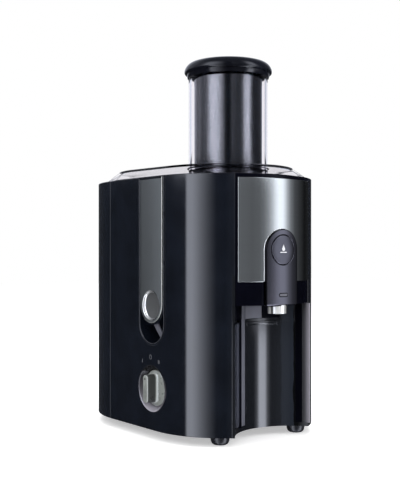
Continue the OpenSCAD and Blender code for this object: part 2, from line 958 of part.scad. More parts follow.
module front_panel() {
    color(steel) clear_of_wings() difference() {
        translate([0, 0, panel_z0]) linear_extrude(panel_z1 - panel_z0) intersection() {
            difference() {
                plan(0);
                plan(panel_t);
            }
            middle(panel_half);
            before(-bay_back);
        }
        arch(0.6, far / 2 - bay_back);
    }
}

module spout_block() {
    color(dark_grey) difference() {
        intersection() {
            translate([0, 0, bay_top]) linear_extrude(far) plan(-spout_proud);
            block_room();
        }
        translate([0, -far, button_z]) rotate([-90, 0, 0]) cylinder(h = far, r = button_r + 0.6);
        // channel of the valve
        translate([-6, -button_back, bay_top + 2]) cube([12, block_deep, button_z - bay_top - 2]);
        translate([0, -outlet_y, bay_top - over]) cylinder(h = 5, r = outlet_r - outlet_t);
        // seat of the oblong mark
        translate([0, 0, 162]) mark_prism(0.5);
    }
}

module mark_prism(depth) {
    mark_w = 12.8;
    mark_h = 4.6;
    translate([0, -front_d - spout_proud + depth, 0]) rotate([90, 0, 0]) linear_extrude(far / 10) {
        square([mark_w - mark_h, mark_h], center = true);
        for (s = [-1, 1]) translate([s * (mark_w - mark_h) / 2, 0]) circle(mark_h / 2, $fn = 32);
    }
}

module spout_mark() {
    color("#8c8e96") translate([0, 0, 162]) intersection() {
        mark_prism(0.5);
        translate([0, 0, -far / 4]) linear_extrude(far / 2) plan(-spout_proud);
    }
}

module outlet_tube() {
    color("#d9dcdf") translate([0, -outlet_y, bay_top - outlet_len])
        ring(outlet_r, outlet_r - outlet_t, outlet_len);
}

module button_spring() {
    turns = 2;
    play = 0.6;
    room = button_back - button_travel - boss_y - 2 * spring_wire - play;
    color(steel) translate([0, -boss_y - spring_wire - 0.05, button_z]) rotate([90, 0, 0])
        coil(spring_r, spring_wire, room / turns, turns);
}

module spout_button() {
    color(dark_grey) intersection() {
        linear_extrude(far) difference() {
            plan(-spout_proud - 0.3);
            behind(-button_back);
        }
        translate([0, -far, button_z]) rotate([-90, 0, 0]) cylinder(h = far, r = button_r);
    }
}

// hangs from the button and closes the outlet until the button is pressed
module valve_slide() {
    valve_t = 1.4;
    valve_w = 9;
    top = button_z - spring_r - 2;
    foot = bay_top + 5;
    color("#c8cace") translate([-valve_w / 2, -button_back, foot]) {
        cube([valve_w, valve_t, top - foot]);
        cube([valve_w, valve_w / 2, 2]);
    }
}

/* ---- lid and pusher ---- */

module lid_form(inset, top) {
    hull() {
        translate([0, 0, rim_z + 0.3]) linear_extrude(2.2) plan(lid_inset + inset, lid_rear);
        translate([0, 0, rim_z + top - 0.2]) linear_extrude(0.2)
            plan(lid_inset + lid_slope + inset, lid_rear - 4);
    }
}

module lid_shell() {
    color(clear) difference() {
        lid_form(0, lid_h);
        translate([0, 0, -0.01]) lid_form(lid_t, lid_h - lid_t);
        translate([0, 0, rim_z - over]) cylinder(h = lid_h + 2 * over, r = tube_r);
    }
}

tube_z0 = grater_z + 14;

module feed_tube() {
    color(clear) translate([0, 0, tube_z0]) difference() {
        cylinder(h = tube_top - tube_z0, r = tube_r);
        translate([0, 0, -over]) cylinder(h = tube_top - tube_z0 + 2 * over, r = tube_r - tube_t);
    }
}

// dark seal where the feed tube goes through the lid
module tube_collar() {
    color(rubber_black) translate([0, 0, rim_z + lid_h]) ring(tube_r + 1.6, tube_r, 1.6);
}

module pusher_body() {
    pusher_z0 = tube_z0 + 4;
    color(gloss_black) translate([0, 0, pusher_z0]) difference() {
        cylinder(h = tube_top + 2 - pusher_z0, r = pusher_r);
        translate([0, 0, pusher_t]) cylinder(h = tube_top - pusher_z0, r = pusher_r - pusher_t);
    }
}

module pusher_cap() {
    lip_h = 4.4;
    color(gloss_black) translate([0, 0, tube_top + 0.5]) rotate_extrude()
        polygon(concat(
            [[0, 1.5], [pusher_r, 1.5], [pusher_r + 1, 0]],
            arc([cap_r - lip_h / 2, lip_h / 2], lip_h / 2, -90, 20, 8),
            arc([cap_top_r - 1, cap_h - 7.5], 7.5, 42, 90, 8),
            [[0, cap_h]]));
}

module pusher_ring() {
    ring_h = 9;
    color(dark_grey) translate([0, 0, tube_top - ring_h])
        ring(pusher_r + pusher_gap / 2, pusher_r, ring_h + 0.5);
}

/* ---- sieve basket ---- */

module sieve_basket() {
    foot = grater_r + 0.1;
    lip = basket_r - 3.8;
    color("#c6c9cc") rotate_extrude()
        polygon([[foot, grater_z + 2], [foot + 2, grater_z + 2], [foot + 2, grater_z + 4.5],
                 [lip + 1.4, basket_top - 3], [basket_r, basket_top - 3], [basket_r, basket_top],
                 [lip, basket_top], [lip, basket_top - 2], [foot, grater_z + 5.5]]);
}

module grater_disc() {
    color("#c6c9cc") translate([0, 0, grater_z]) {
        cylinder(h = 2, r = grater_r);
        ring(grater_r + 2, grater_r - over, 2);
        // teeth, three rings of them
        for (k = [1 : 3]) for (i = [0 : 7]) rotate([0, 0, i * 45 + k * 15])
            translate([8 + k * 11, 0, 1.5]) cylinder(h = 2, r1 = 1.5, r2 = 0.4, $fn = 5);
    }
}

module basket_hub() {
    color(dark_grey) translate([0, 0, coupling_z0 + 6]) {
        ring(socket_r + socket_t, socket_r, grater_z - coupling_z0 - 6);
        // ribs that the coupling's lugs push
        for (i = [0 : 2]) rotate([0, 0, i * 120 + 60]) difference() {
            translate([0, -2, 0]) cube([socket_r + over, 4, grater_z - coupling_z0 - 6]);
            translate([0, 0, -over]) cylinder(h = far, r = coupling_r - 2.6);
        }
        translate([0, 0, hub_z - coupling_z0 - 6]) cylinder(h = grater_z - hub_z, r = grater_r - 6);
    }
}

/* ---- pulp container ---- */

bin_y0 = seam_y + seam;
bin_grip_half = 40;
bin_grip_h = 32;
bin_grip_y = seam_y + half_w - 19.5;
grip_z = rim_z - grip_down - bin_grip_h;

module bin_outline(inset) {
    intersection() {
        plan(inset);
        behind(bin_y0 + inset);
    }
}

module pulp_container() {
    floor_z = base_top + slip;
    color(gloss_black) difference() {
        union() {
            difference() {
                translate([0, 0, foot_h]) linear_extrude(rim_z - foot_h) bin_outline(0);
                // room for the pulp, under a rim that the lid's edge lies on
                translate([0, 0, floor_z + bin_t]) linear_extrude(rim_z - bin_t - floor_z - bin_t)
                    bin_outline(bin_t);
                translate([0, 0, floor_z + bin_t]) linear_extrude(far) intersection() {
                    plan(9, lid_rear);
                    behind(bin_y0 + bin_t);
                }
            }
            // wall of the grip
            intersection() {
                translate([-bin_grip_half - 2, bin_grip_y - 2, grip_z - 2])
                    cube([2 * bin_grip_half + 4, far, bin_grip_h + 4]);
                translate([0, 0, foot_h]) linear_extrude(rim_z - foot_h) bin_outline(bin_t / 2);
            }
        }
        // skirt round the base plate
        translate([0, 0, 0]) linear_extrude(floor_z) intersection() {
            plan(bin_t);
            behind(0);
        }
        translate([-bin_grip_half, bin_grip_y, grip_z]) cube([2 * bin_grip_half, far, bin_grip_h]);
        // edge that the pulp comes in over
        translate([-half_w * 0.72, seam_y - over, chute_z])
            cube([half_w * 1.44, bin_t + seam + 2 * over, far]);
    }
}

motor_housing();
bay_wall();
latch_pocket_left();
latch_pocket_right();
base_plate();
rubber_feet();
deck_plate();
base_screws();
cord_gland();
upper_bracket();
lower_bracket();
upper_bearing();
lower_bearing();
stator_stack();
stator_windings();
carbon_brushes();
motor_screws();
mounting_bushes();
shaft_seal();
speed_switch();
control_board();
interlock_switch();
knob_bezel();
latch_pins();
latch_springs();
motor_shaft();
rotor_core();
commutator();
cooling_fan();
drive_coupling();
juice_collector();
collector_nose();
panel_carrier();
front_panel();
spout_block();
outlet_tube();
spout_mark();
button_spring();
spout_button();
valve_slide();
lid_shell();
feed_tube();
tube_collar();
pusher_body();
pusher_cap();
pusher_ring();
sieve_basket();
grater_disc();
basket_hub();
latch_arm_left();
latch_arm_right();
latch_skin_left();
latch_skin_right();
latch_pad_left();
latch_pad_right();
knob();
knob_shaft();
pulp_container();
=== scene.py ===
import bpy
import bmesh
from math import sin, cos, pi, radians, degrees, atan2, sqrt, hypot
from mathutils import Vector, Matrix


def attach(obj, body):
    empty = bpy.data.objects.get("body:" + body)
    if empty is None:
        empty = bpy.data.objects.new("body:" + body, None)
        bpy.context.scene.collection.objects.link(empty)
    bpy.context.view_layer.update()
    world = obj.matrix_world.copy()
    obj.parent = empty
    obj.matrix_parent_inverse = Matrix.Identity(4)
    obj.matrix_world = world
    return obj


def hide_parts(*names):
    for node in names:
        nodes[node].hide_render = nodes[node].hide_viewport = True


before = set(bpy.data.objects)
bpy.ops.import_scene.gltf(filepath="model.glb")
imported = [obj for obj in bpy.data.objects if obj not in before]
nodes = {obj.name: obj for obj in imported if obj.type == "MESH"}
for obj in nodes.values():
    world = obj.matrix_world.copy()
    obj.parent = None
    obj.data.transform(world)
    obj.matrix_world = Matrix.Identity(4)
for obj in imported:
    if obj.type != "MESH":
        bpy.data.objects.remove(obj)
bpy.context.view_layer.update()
mm = 0.001


def newObject(name, mesh):
    obj = bpy.data.objects.new(name, mesh)
    bpy.context.scene.collection.objects.link(obj)
    return obj


# points are in millimetres
def meshFrom(name, verts, faces):
    mesh = bpy.data.meshes.new(name)
    mesh.from_pydata([[c * mm for c in v] for v in verts], [], faces)
    mesh.update()
    return newObject(name, mesh)


def smoothBy(obj, angle):
    mesh = obj.data
    mesh.polygons.foreach_set("use_smooth", [True] * len(mesh.polygons))
    mesh.set_sharp_from_angle(angle=radians(angle))


def bake(obj):
    # the evaluated result becomes the plain mesh, and the modifiers go
    graph = bpy.context.evaluated_depsgraph_get()
    result = bpy.data.meshes.new_from_object(obj.evaluated_get(graph), depsgraph=graph)
    old = obj.data
    obj.modifiers.clear()
    obj.data = result
    result.name = obj.name
    if old.users == 0:
        bpy.data.meshes.remove(old)
    return obj


def bevelled(obj, width, segments, angle=32):
    bevel = obj.modifiers.new("edges", "BEVEL")
    bevel.width = width * mm
    bevel.segments = segments
    bevel.limit_method = "ANGLE"
    bevel.angle_limit = radians(angle)
    weights = obj.modifiers.new("normals", "WEIGHTED_NORMAL")
    weights.keep_sharp = True
    weights.weight = 80
    return bake(obj)


def cleanCopy(node, flat=0.6, near=2e-6):
    # a CAD node's mesh with its loose triangles joined and its flat faces made whole
    mesh = nodes[node].data.copy()
    work = bmesh.new()
    work.from_mesh(mesh)
    bmesh.ops.remove_doubles(work, verts=work.verts, dist=near)
    bmesh.ops.dissolve_limit(work, angle_limit=radians(flat), verts=work.verts,
                             edges=work.edges, use_dissolve_boundaries=False)
    work.to_mesh(mesh)
    work.free()
    mesh.materials.clear()
    return mesh


def finishPiece(obj, body, slot, kind, *replaced, smooth=None):
    if smooth:
        smoothBy(obj, smooth)
    obj.data.materials.clear()
    obj.data.materials.append(finish[kind])
    if replaced:
        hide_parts(*replaced)
    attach(obj, body)


# a copy of a CAD node with softened edges, shown in its place
def dressed(node, name, body, slot, kind, width=0.4, segments=2):
    obj = newObject(name, cleanCopy(node))
    smoothBy(obj, 26)
    bevelled(obj, width, segments)
    finishPiece(obj, body, slot, kind, node)


def outward(obj):
    work = bmesh.new()
    work.from_mesh(obj.data)
    bmesh.ops.remove_doubles(work, verts=work.verts, dist=4e-7)
    bmesh.ops.recalc_face_normals(work, faces=work.faces)
    work.to_mesh(obj.data)
    work.free()
    return obj


# count points evenly round a circle, as offsets from its middle
def circle(count, wide=1, high=None):
    high = wide if high is None else high
    return [(wide * cos(2 * pi * i / count), high * sin(2 * pi * i / count)) for i in range(count)]


# closed surface from a profile of (radius, height) points turned about +Z
def turnedMesh(name, profile, steps=96, closed=False):
    verts, faces, rows = [], [], []
    for r, h in profile:
        if r < 1e-4:
            rows.append([len(verts)])
            verts.append((0, 0, h))
        else:
            rows.append(list(range(len(verts), len(verts) + steps)))
            verts += [(x, y, h) for x, y in circle(steps, r)]
    for a, b in list(zip(rows, rows[1:])) + ([(rows[-1], rows[0])] if closed else []):
        for i in range(steps):
            j = (i + 1) % steps
            face = [a[i % len(a)], a[j % len(a)], b[j % len(b)], b[i % len(b)]]
            face = [v for k, v in enumerate(face) if v not in face[:k]]
            if len(face) > 2:
                faces.append(face)
    return outward(meshFrom(name, verts, faces))


def placed(obj, matrix):
    obj.data.transform(matrix)
    return outward(obj) if matrix.determinant() < 0 else obj


def arcPoints(cx, cy, r, a0, a1, steps):
    return [(cx + r * cos(radians(a0 + (a1 - a0) * i / steps)),
             cy + r * sin(radians(a0 + (a1 - a0) * i / steps))) for i in range(steps + 1)]


# rounds the corners of a profile of points by the radius given with each
def roundedProfile(points, steps=4):
    out = []
    for k, (x, y, r) in enumerate(points):
        if r == 0 or k in (0, len(points) - 1):
            out.append((x, y))
            continue
        corner = Vector((x, y))
        u, v = Vector(points[k - 1][:2]) - corner, Vector(points[k + 1][:2]) - corner
        reach = min(r, u.length * 0.48, v.length * 0.48)
        u.normalize()
        v.normalize()
        for i in range(steps + 1):
            t = i / steps
            out.append(tuple((corner + u * reach) * (1 - t) ** 2 + corner * 2 * t * (1 - t)
                             + (corner + v * reach) * t ** 2))
    return out


# the body's outline at an even inset, as points in millimetres going round anticlockwise
body = {"width": 200, "front": 93, "cornerX": 8, "frontMore": 14, "bayR": 65.8, "bayBack": 50}
halfW = body["width"] / 2
cornerR = halfW - body["cornerX"]
frontR = cornerR + body["frontMore"]
frontC = frontR - body["front"]
cornerY = frontC - sqrt(body["frontMore"] ** 2 - body["cornerX"] ** 2)
cornerA = degrees(atan2(frontC - cornerY, body["cornerX"]))
bayC = -body["bayBack"] - body["bayR"]


def bodyOutline(inset, rear):
    return (arcPoints(-body["cornerX"], cornerY, cornerR - inset, 180, 180 + cornerA, 20)[:-1]
            + arcPoints(0, frontC, frontR - inset, 180 + cornerA, 360 - cornerA, 28)[:-1]
            + arcPoints(body["cornerX"], cornerY, cornerR - inset, 360 - cornerA, 360, 20)
            + arcPoints(0, rear, halfW - inset, 0, 180, 64))


def frontAt(x, proud=0.0):
    # y of the front wall's outside at x
    if abs(x) / (frontR + proud) < cos(radians(cornerA)):
        return frontC - sqrt((frontR + proud) ** 2 - x * x)
    corner = abs(x) - body["cornerX"]
    return cornerY - sqrt(max((cornerR + proud) ** 2 - corner * corner, 0))


def onFront(proud):
    # gives places on the front wall, from u across, v up and a rise out of it
    return lambda u, v, rise: (u, frontAt(u, proud + rise), v)


print("frame and helpers ready")

view = {"place": (-0.65721, -0.80915, 0.2109), "turn": -37.27, "lens": 63.96}
cameraData = bpy.data.cameras.new("camera")
camera = newObject("camera", cameraData)
camera.location = view["place"]
camera.rotation_euler = (radians(90), 0, radians(view["turn"]))
cameraData.lens = view["lens"]
cameraData.sensor_width = 36
bpy.context.scene.camera = camera
bpy.context.scene.view_settings.view_transform = "Standard"


class Tree:
    # short ways to build a node tree
    def __init__(self, tree):
        self.tree = tree

    def add(self, kind, *values, **settings):
        # values fill the inputs in order: a socket is linked, and None leaves the input as it is
        node = self.tree.nodes.new(kind)
        for key, value in settings.items():
            setattr(node, key, value)
        for socket, value in zip(node.inputs, values):
            self.fill(socket, value)
        return node

    def fill(self, socket, value):
        if isinstance(value, bpy.types.NodeSocket):
            self.tree.links.new(value, socket)
        elif value is not None:
            socket.default_value = value

    def math(self, operation, a, b=0.0, c=0.0):
        return self.add("ShaderNodeMath", a, b, c, operation=operation).outputs[0]

    def times(self, a, b):
        return self.math("MULTIPLY", a, b)

    def plus(self, a, b):
        return self.math("ADD", a, b)

    def mixed(self, factor, a, b):
        return self.add("ShaderNodeMix", factor, None, a, b, data_type="FLOAT").outputs[0]

    def ramp(self, factor, points):
        # points are (place, colour)
        node = self.add("ShaderNodeValToRGB", factor)
        stops = node.color_ramp.elements
        stops.remove(stops[-1])
        for k, (place, colour) in enumerate(points):
            stop = stops.new(place) if k else stops[0]
            stop.position = place
            stop.color = (*colour, 1)
        return node.outputs["Color"]


# brightness of the studio's soft boxes by direction: degrees from the front, towards the right,
# for three heights: under the table's edge, level, and above
leftBox = [(-180, 0.05), (-150, 0.04), (-120, 0.05), (-92, 0.08), (-89, 5.1), (-82, 5.1), (-76, 4.1), (-70, 2.9),
           (-64, 1.9), (-58.5, 1.1), (-52.5, 0.5), (-47, 0.1), (-34, 0.05)]
studio = {"plain": 0.7, "ceiling": 0.25, "tint": (0.94, 0.985, 1.12, 1), "peak": 10.0,
          "heights": (-0.088, -0.082, 0.0865, 0.0905, 0.60, 0.92),
          "low": leftBox + [(-20, 0.25), (-10, 0.22), (8, 0.2), (15, 1.5), (20, 7.5), (32, 7.5), (38, 1.2),
                            (46, 0.12), (60, 0.1), (90, 0.04), (130, 0.04), (180, 0.05)],
          "middle": leftBox + [(-24, 0.17), (-15, 0.165), (0, 0.14), (10, 0.16), (16, 0.23), (22, 0.40),
                               (28, 0.78), (33, 1.28), (38, 1.6), (44, 1.55), (48, 1.12), (52, 0.66), (58, 0.27),
                               (66, 0.1), (76, 0.05), (90, 0.01), (130, 0.04), (180, 0.05)],
          "high": [(-180, 0.9), (-168, 0.5), (-152, 0.85), (-136, 0.5), (-119, 0.8), (-111, 1.8), (-98, 5.6),
                   (-82, 5.6), (-69, 3.6), (-57, 1.5), (-49, 0.2), (-40, 0.02), (-32, 0.1), (-26, 0.5),
                   (-10, 0.3), (2, 0.3), (11, 1.0), (20, 4.6), (34, 5.2), (42, 2.0), (50, 0.2), (70, 0.1),
                   (100, 0.15), (125, 0.7), (180, 0.9)]}


def makeStudio():
    world = bpy.data.worlds.new("studio")
    bpy.context.scene.world = world
    world.use_nodes = True
    world.node_tree.nodes.clear()
    t = Tree(world.node_tree)
    split = t.add("ShaderNodeSeparateXYZ", t.add("ShaderNodeTexCoord").outputs["Generated"])
    x, y, z = split.outputs
    share = t.math("MULTIPLY_ADD", t.math("ARCTAN2", x, t.times(y, -1)), 1 / (2 * pi), 0.5)

    def boxes(height):
        points = [((turn + 180) / 360, [value / studio["peak"]] * 3) for turn, value in studio[height]]
        return t.times(t.ramp(share, points), studio["peak"])

    # each pair of heights fades one level into the next
    level = boxes("low")
    upper = (boxes("middle"), boxes("high"), studio["ceiling"])
    for start, stop, above in zip(studio["heights"][::2], studio["heights"][1::2], upper):
        rise = t.add("ShaderNodeMapRange", z, start, stop, interpolation_type="SMOOTHSTEP")
        level = t.mixed(rise.outputs[0], level, above)
    path = t.add("ShaderNodeLightPath")
    glossy = t.math("GREATER_THAN", path.outputs["Glossy Depth"], 0.5)
    bounced = t.math("GREATER_THAN", path.outputs["Diffuse Depth"], 0.5)
    # straight, or through clear plastic: white. In a reflection: the soft boxes. For the rest: plain
    strength = t.mixed(bounced, t.mixed(glossy, 1.0, level), studio["plain"])
    tone = t.add("ShaderNodeMix", glossy, *[None] * 5, (1, 1, 1, 1), studio["tint"], data_type="RGBA")
    light = t.add("ShaderNodeBackground", tone.outputs[2], strength)
    t.add("ShaderNodeOutputWorld", light.outputs[0])


lamps = {"leftLamp": ((-1.7, -1.0, 1.3), (1.1, 1.1), 14), "rightLamp": ((1.3, -1.6, 1.2), (1.0, 1.2), 12),
         "topLamp": ((0.1, 0.2, 2.0), (1.8, 1.8), 22)}
aimed = (0, 0.03, 0.2)


def areaLamp(name, place, size, watts):
    data = bpy.data.lights.new(name, "AREA")
    data.shape = "RECTANGLE"
    data.size, data.size_y = size
    data.energy = watts
    lamp = newObject(name, data)
    lamp.location = place
    lamp.rotation_euler = (Vector(aimed) - Vector(place)).to_track_quat("-Z", "Y").to_euler()
    lamp.visible_glossy = lamp.visible_camera = lamp.visible_transmission = False


floorLook = {"half": 4000, "glow": 0.42, "grain": 40, "tones": ((0, (0.86, 0.86, 0.865)), (1, (0.9, 0.9, 0.9)))}


def makeFloor():
    side = floorLook["half"]
    floor = meshFrom("floor", [(-side, -side, 0), (side, -side, 0), (side, side, 0), (-side, side, 0)],
                     [(0, 1, 2, 3)])
    mat = bpy.data.materials.new("paleFloor")
    mat.use_nodes = True
    mat.node_tree.nodes.clear()
    t = Tree(mat.node_tree)
    spot = t.add("ShaderNodeTexCoord").outputs["Object"]
    grain = t.add("ShaderNodeTexNoise", spot, None, floorLook["grain"])
    matt = t.add("ShaderNodeBsdfDiffuse", t.ramp(grain.outputs["Fac"], floorLook["tones"]))
    path = t.add("ShaderNodeLightPath")
    glow = t.add("ShaderNodeEmission", None, t.times(path.outputs["Is Camera Ray"], floorLook["glow"]))
    both = t.add("ShaderNodeAddShader", matt.outputs[0], glow.outputs[0])
    # not there for reflections
    deep = t.math("GREATER_THAN", path.outputs["Glossy Depth"], 0.5)
    pick = t.add("ShaderNodeMixShader", deep, both.outputs[0], t.add("ShaderNodeBsdfTransparent").outputs[0])
    t.add("ShaderNodeOutputMaterial", pick.outputs[0])
    floor.data.materials.append(mat)


makeStudio()
for name, look in lamps.items():
    areaLamp(name, *look)
makeFloor()
print("camera, studio and floor ready")


class Finish(Tree):
    # a material with Principled at its end, and short ways to add patterns
    def __init__(self, name, colour, rough, metal=0.0, **sockets):
        self.mat = bpy.data.materials.new(name)
        self.mat.use_nodes = True
        super().__init__(self.mat.node_tree)
        self.surface = self.tree.nodes["Principled BSDF"]
        self.colour = colour
        sockets = {"Base Color": (*colour, 1), "Roughness": rough, "Metallic": metal, **sockets}
        for socket, value in sockets.items():
            self.feed(socket, value)
        self.spot = self.add("ShaderNodeTexCoord").outputs["Object"]

    def feed(self, socket, value):
        self.fill(self.surface.inputs[socket], value)

    def stretched(self, scale, turn=(0, 0, 0)):
        return self.add("ShaderNodeMapping", self.spot, None, turn, scale).outputs[0]

    def noise(self, scale, detail=2.0, vector=None, rough=0.5):
        return self.add("ShaderNodeTexNoise", vector or self.spot, None, scale, detail, rough).outputs["Fac"]

    def span(self, value, *ends):
        return self.add("ShaderNodeMapRange", value, *ends).outputs[0]

    def shaded(self, factor, stops):
        # stops are (place, share of the colour)
        self.feed("Base Color", self.ramp(factor, [(place, [min(c * share, 1) for c in self.colour])
                                                   for place, share in stops]))

    def surfaced(self, rough, worn, grain, strength, depth):
        # roughness that wanders between two shares of itself, and a bump in millimetres
        wander, low, high = worn
        self.feed("Roughness", self.span(wander, 0.3, 0.7, rough * low, rough * high))
        bump = self.add("ShaderNodeBump", strength, depth * mm)
        self.fill(bump.inputs["Height"], grain)
        self.feed("Normal", bump.outputs[0])
        return self.mat


def moulded(name, colour, rough, grain, spread, size, **sockets):
    f = Finish(name, colour, rough, **sockets)
    f.shaded(f.noise(30, 4), ((0.3, 1 - spread), (0.7, 1 + spread)))
    return f.surfaced(rough, (f.noise(75, 5), 0.85, 1.2), f.noise(size, 2), grain, 0.05)


def brushed(name, colour, rough, scale, depth):
    f = Finish(name, colour, rough, 1.0)
    lines = f.noise(1, 3, f.stretched(scale), 0.65)
    f.shaded(lines, ((0.3, 0.93), (0.7, 1.06)))
    return f.surfaced(rough, (lines, 0.85, 1.2), lines, depth, 0.04)


def plainMetal(name, colour, rough, size=140, grain=0.03, metal=1.0):
    f = Finish(name, colour, rough, metal)
    f.shaded(f.noise(size, 4), ((0.3, 0.9), (0.7, 1.06)))
    return f.surfaced(rough, (f.noise(size * 0.6, 4), 0.75, 1.35), f.noise(size * 8, 2), grain, 0.03)


def paintedLightAlong(name, colour, rough, axis, stops, turn=0, metal=0.0, **sockets):
    # painted light and shade: colour that changes along one of the object's own axes, standing in for highlights,
    # reflections and shade; stops are (millimetres, share of the colour)
    f = Finish(name, colour, rough, metal, **sockets)
    split = f.add("ShaderNodeSeparateXYZ", f.stretched((1, 1, 1), (0, 0, radians(turn))) if turn else f.spot)
    low, high = stops[0][0], stops[-1][0]
    along = f.span(split.outputs[axis], low * mm, high * mm)
    f.shaded(f.math("MULTIPLY_ADD", f.noise(60, 4), 0.03, along),
             [((place - low) / (high - low), share) for place, share in stops])
    return f.surfaced(rough, (f.noise(90, 4), 0.85, 1.2), f.noise(900, 2), 0.02, 0.05)


def edgeShaded(name, colour, rough, middle, start, stop, share):
    # metal with painted shade: the colour darkens near the outline of an upright shape with a round top, where its
    # rounded edges turn from the light
    f = Finish(name, colour, rough, 1.0)
    x, y, z = f.add("ShaderNodeSeparateXYZ", f.spot).outputs
    over = f.math("MAXIMUM", f.math("SUBTRACT", z, middle * mm), 0.0)
    reach = f.math("SQRT", f.plus(f.math("POWER", f.math("ABSOLUTE", x), 2.0), f.math("POWER", over, 2.0)))
    f.shaded(f.span(reach, start * mm, stop * mm), ((0, 1), (1, share)))
    return f.surfaced(rough, (f.noise(90, 4), 0.85, 1.2), f.noise(1600, 2), 0.004, 0.05)


def glazed(name, colour, rough, ior):
    f = Finish(name, colour, rough, **{"Transmission Weight": 1.0, "IOR": ior})
    f.shaded(f.noise(12, 2), ((0.3, 0.985), (0.7, 1.0)))
    return f.surfaced(rough, (f.noise(40, 4), 0.6, 1.6), f.noise(22, 2), 0.02, 0.2)


def striped(name, colour, rough, metal, scale, direction, low, high, depth, distort=0.0):
    f = Finish(name, colour, rough, metal)
    bands = f.add("ShaderNodeTexWave", f.spot, scale, distort, bands_direction=direction).outputs["Fac"]
    f.shaded(bands, ((0.2, low), (0.8, high)))
    return f.surfaced(rough, (f.noise(300, 3), 0.8, 1.25), bands, 0.5, depth)


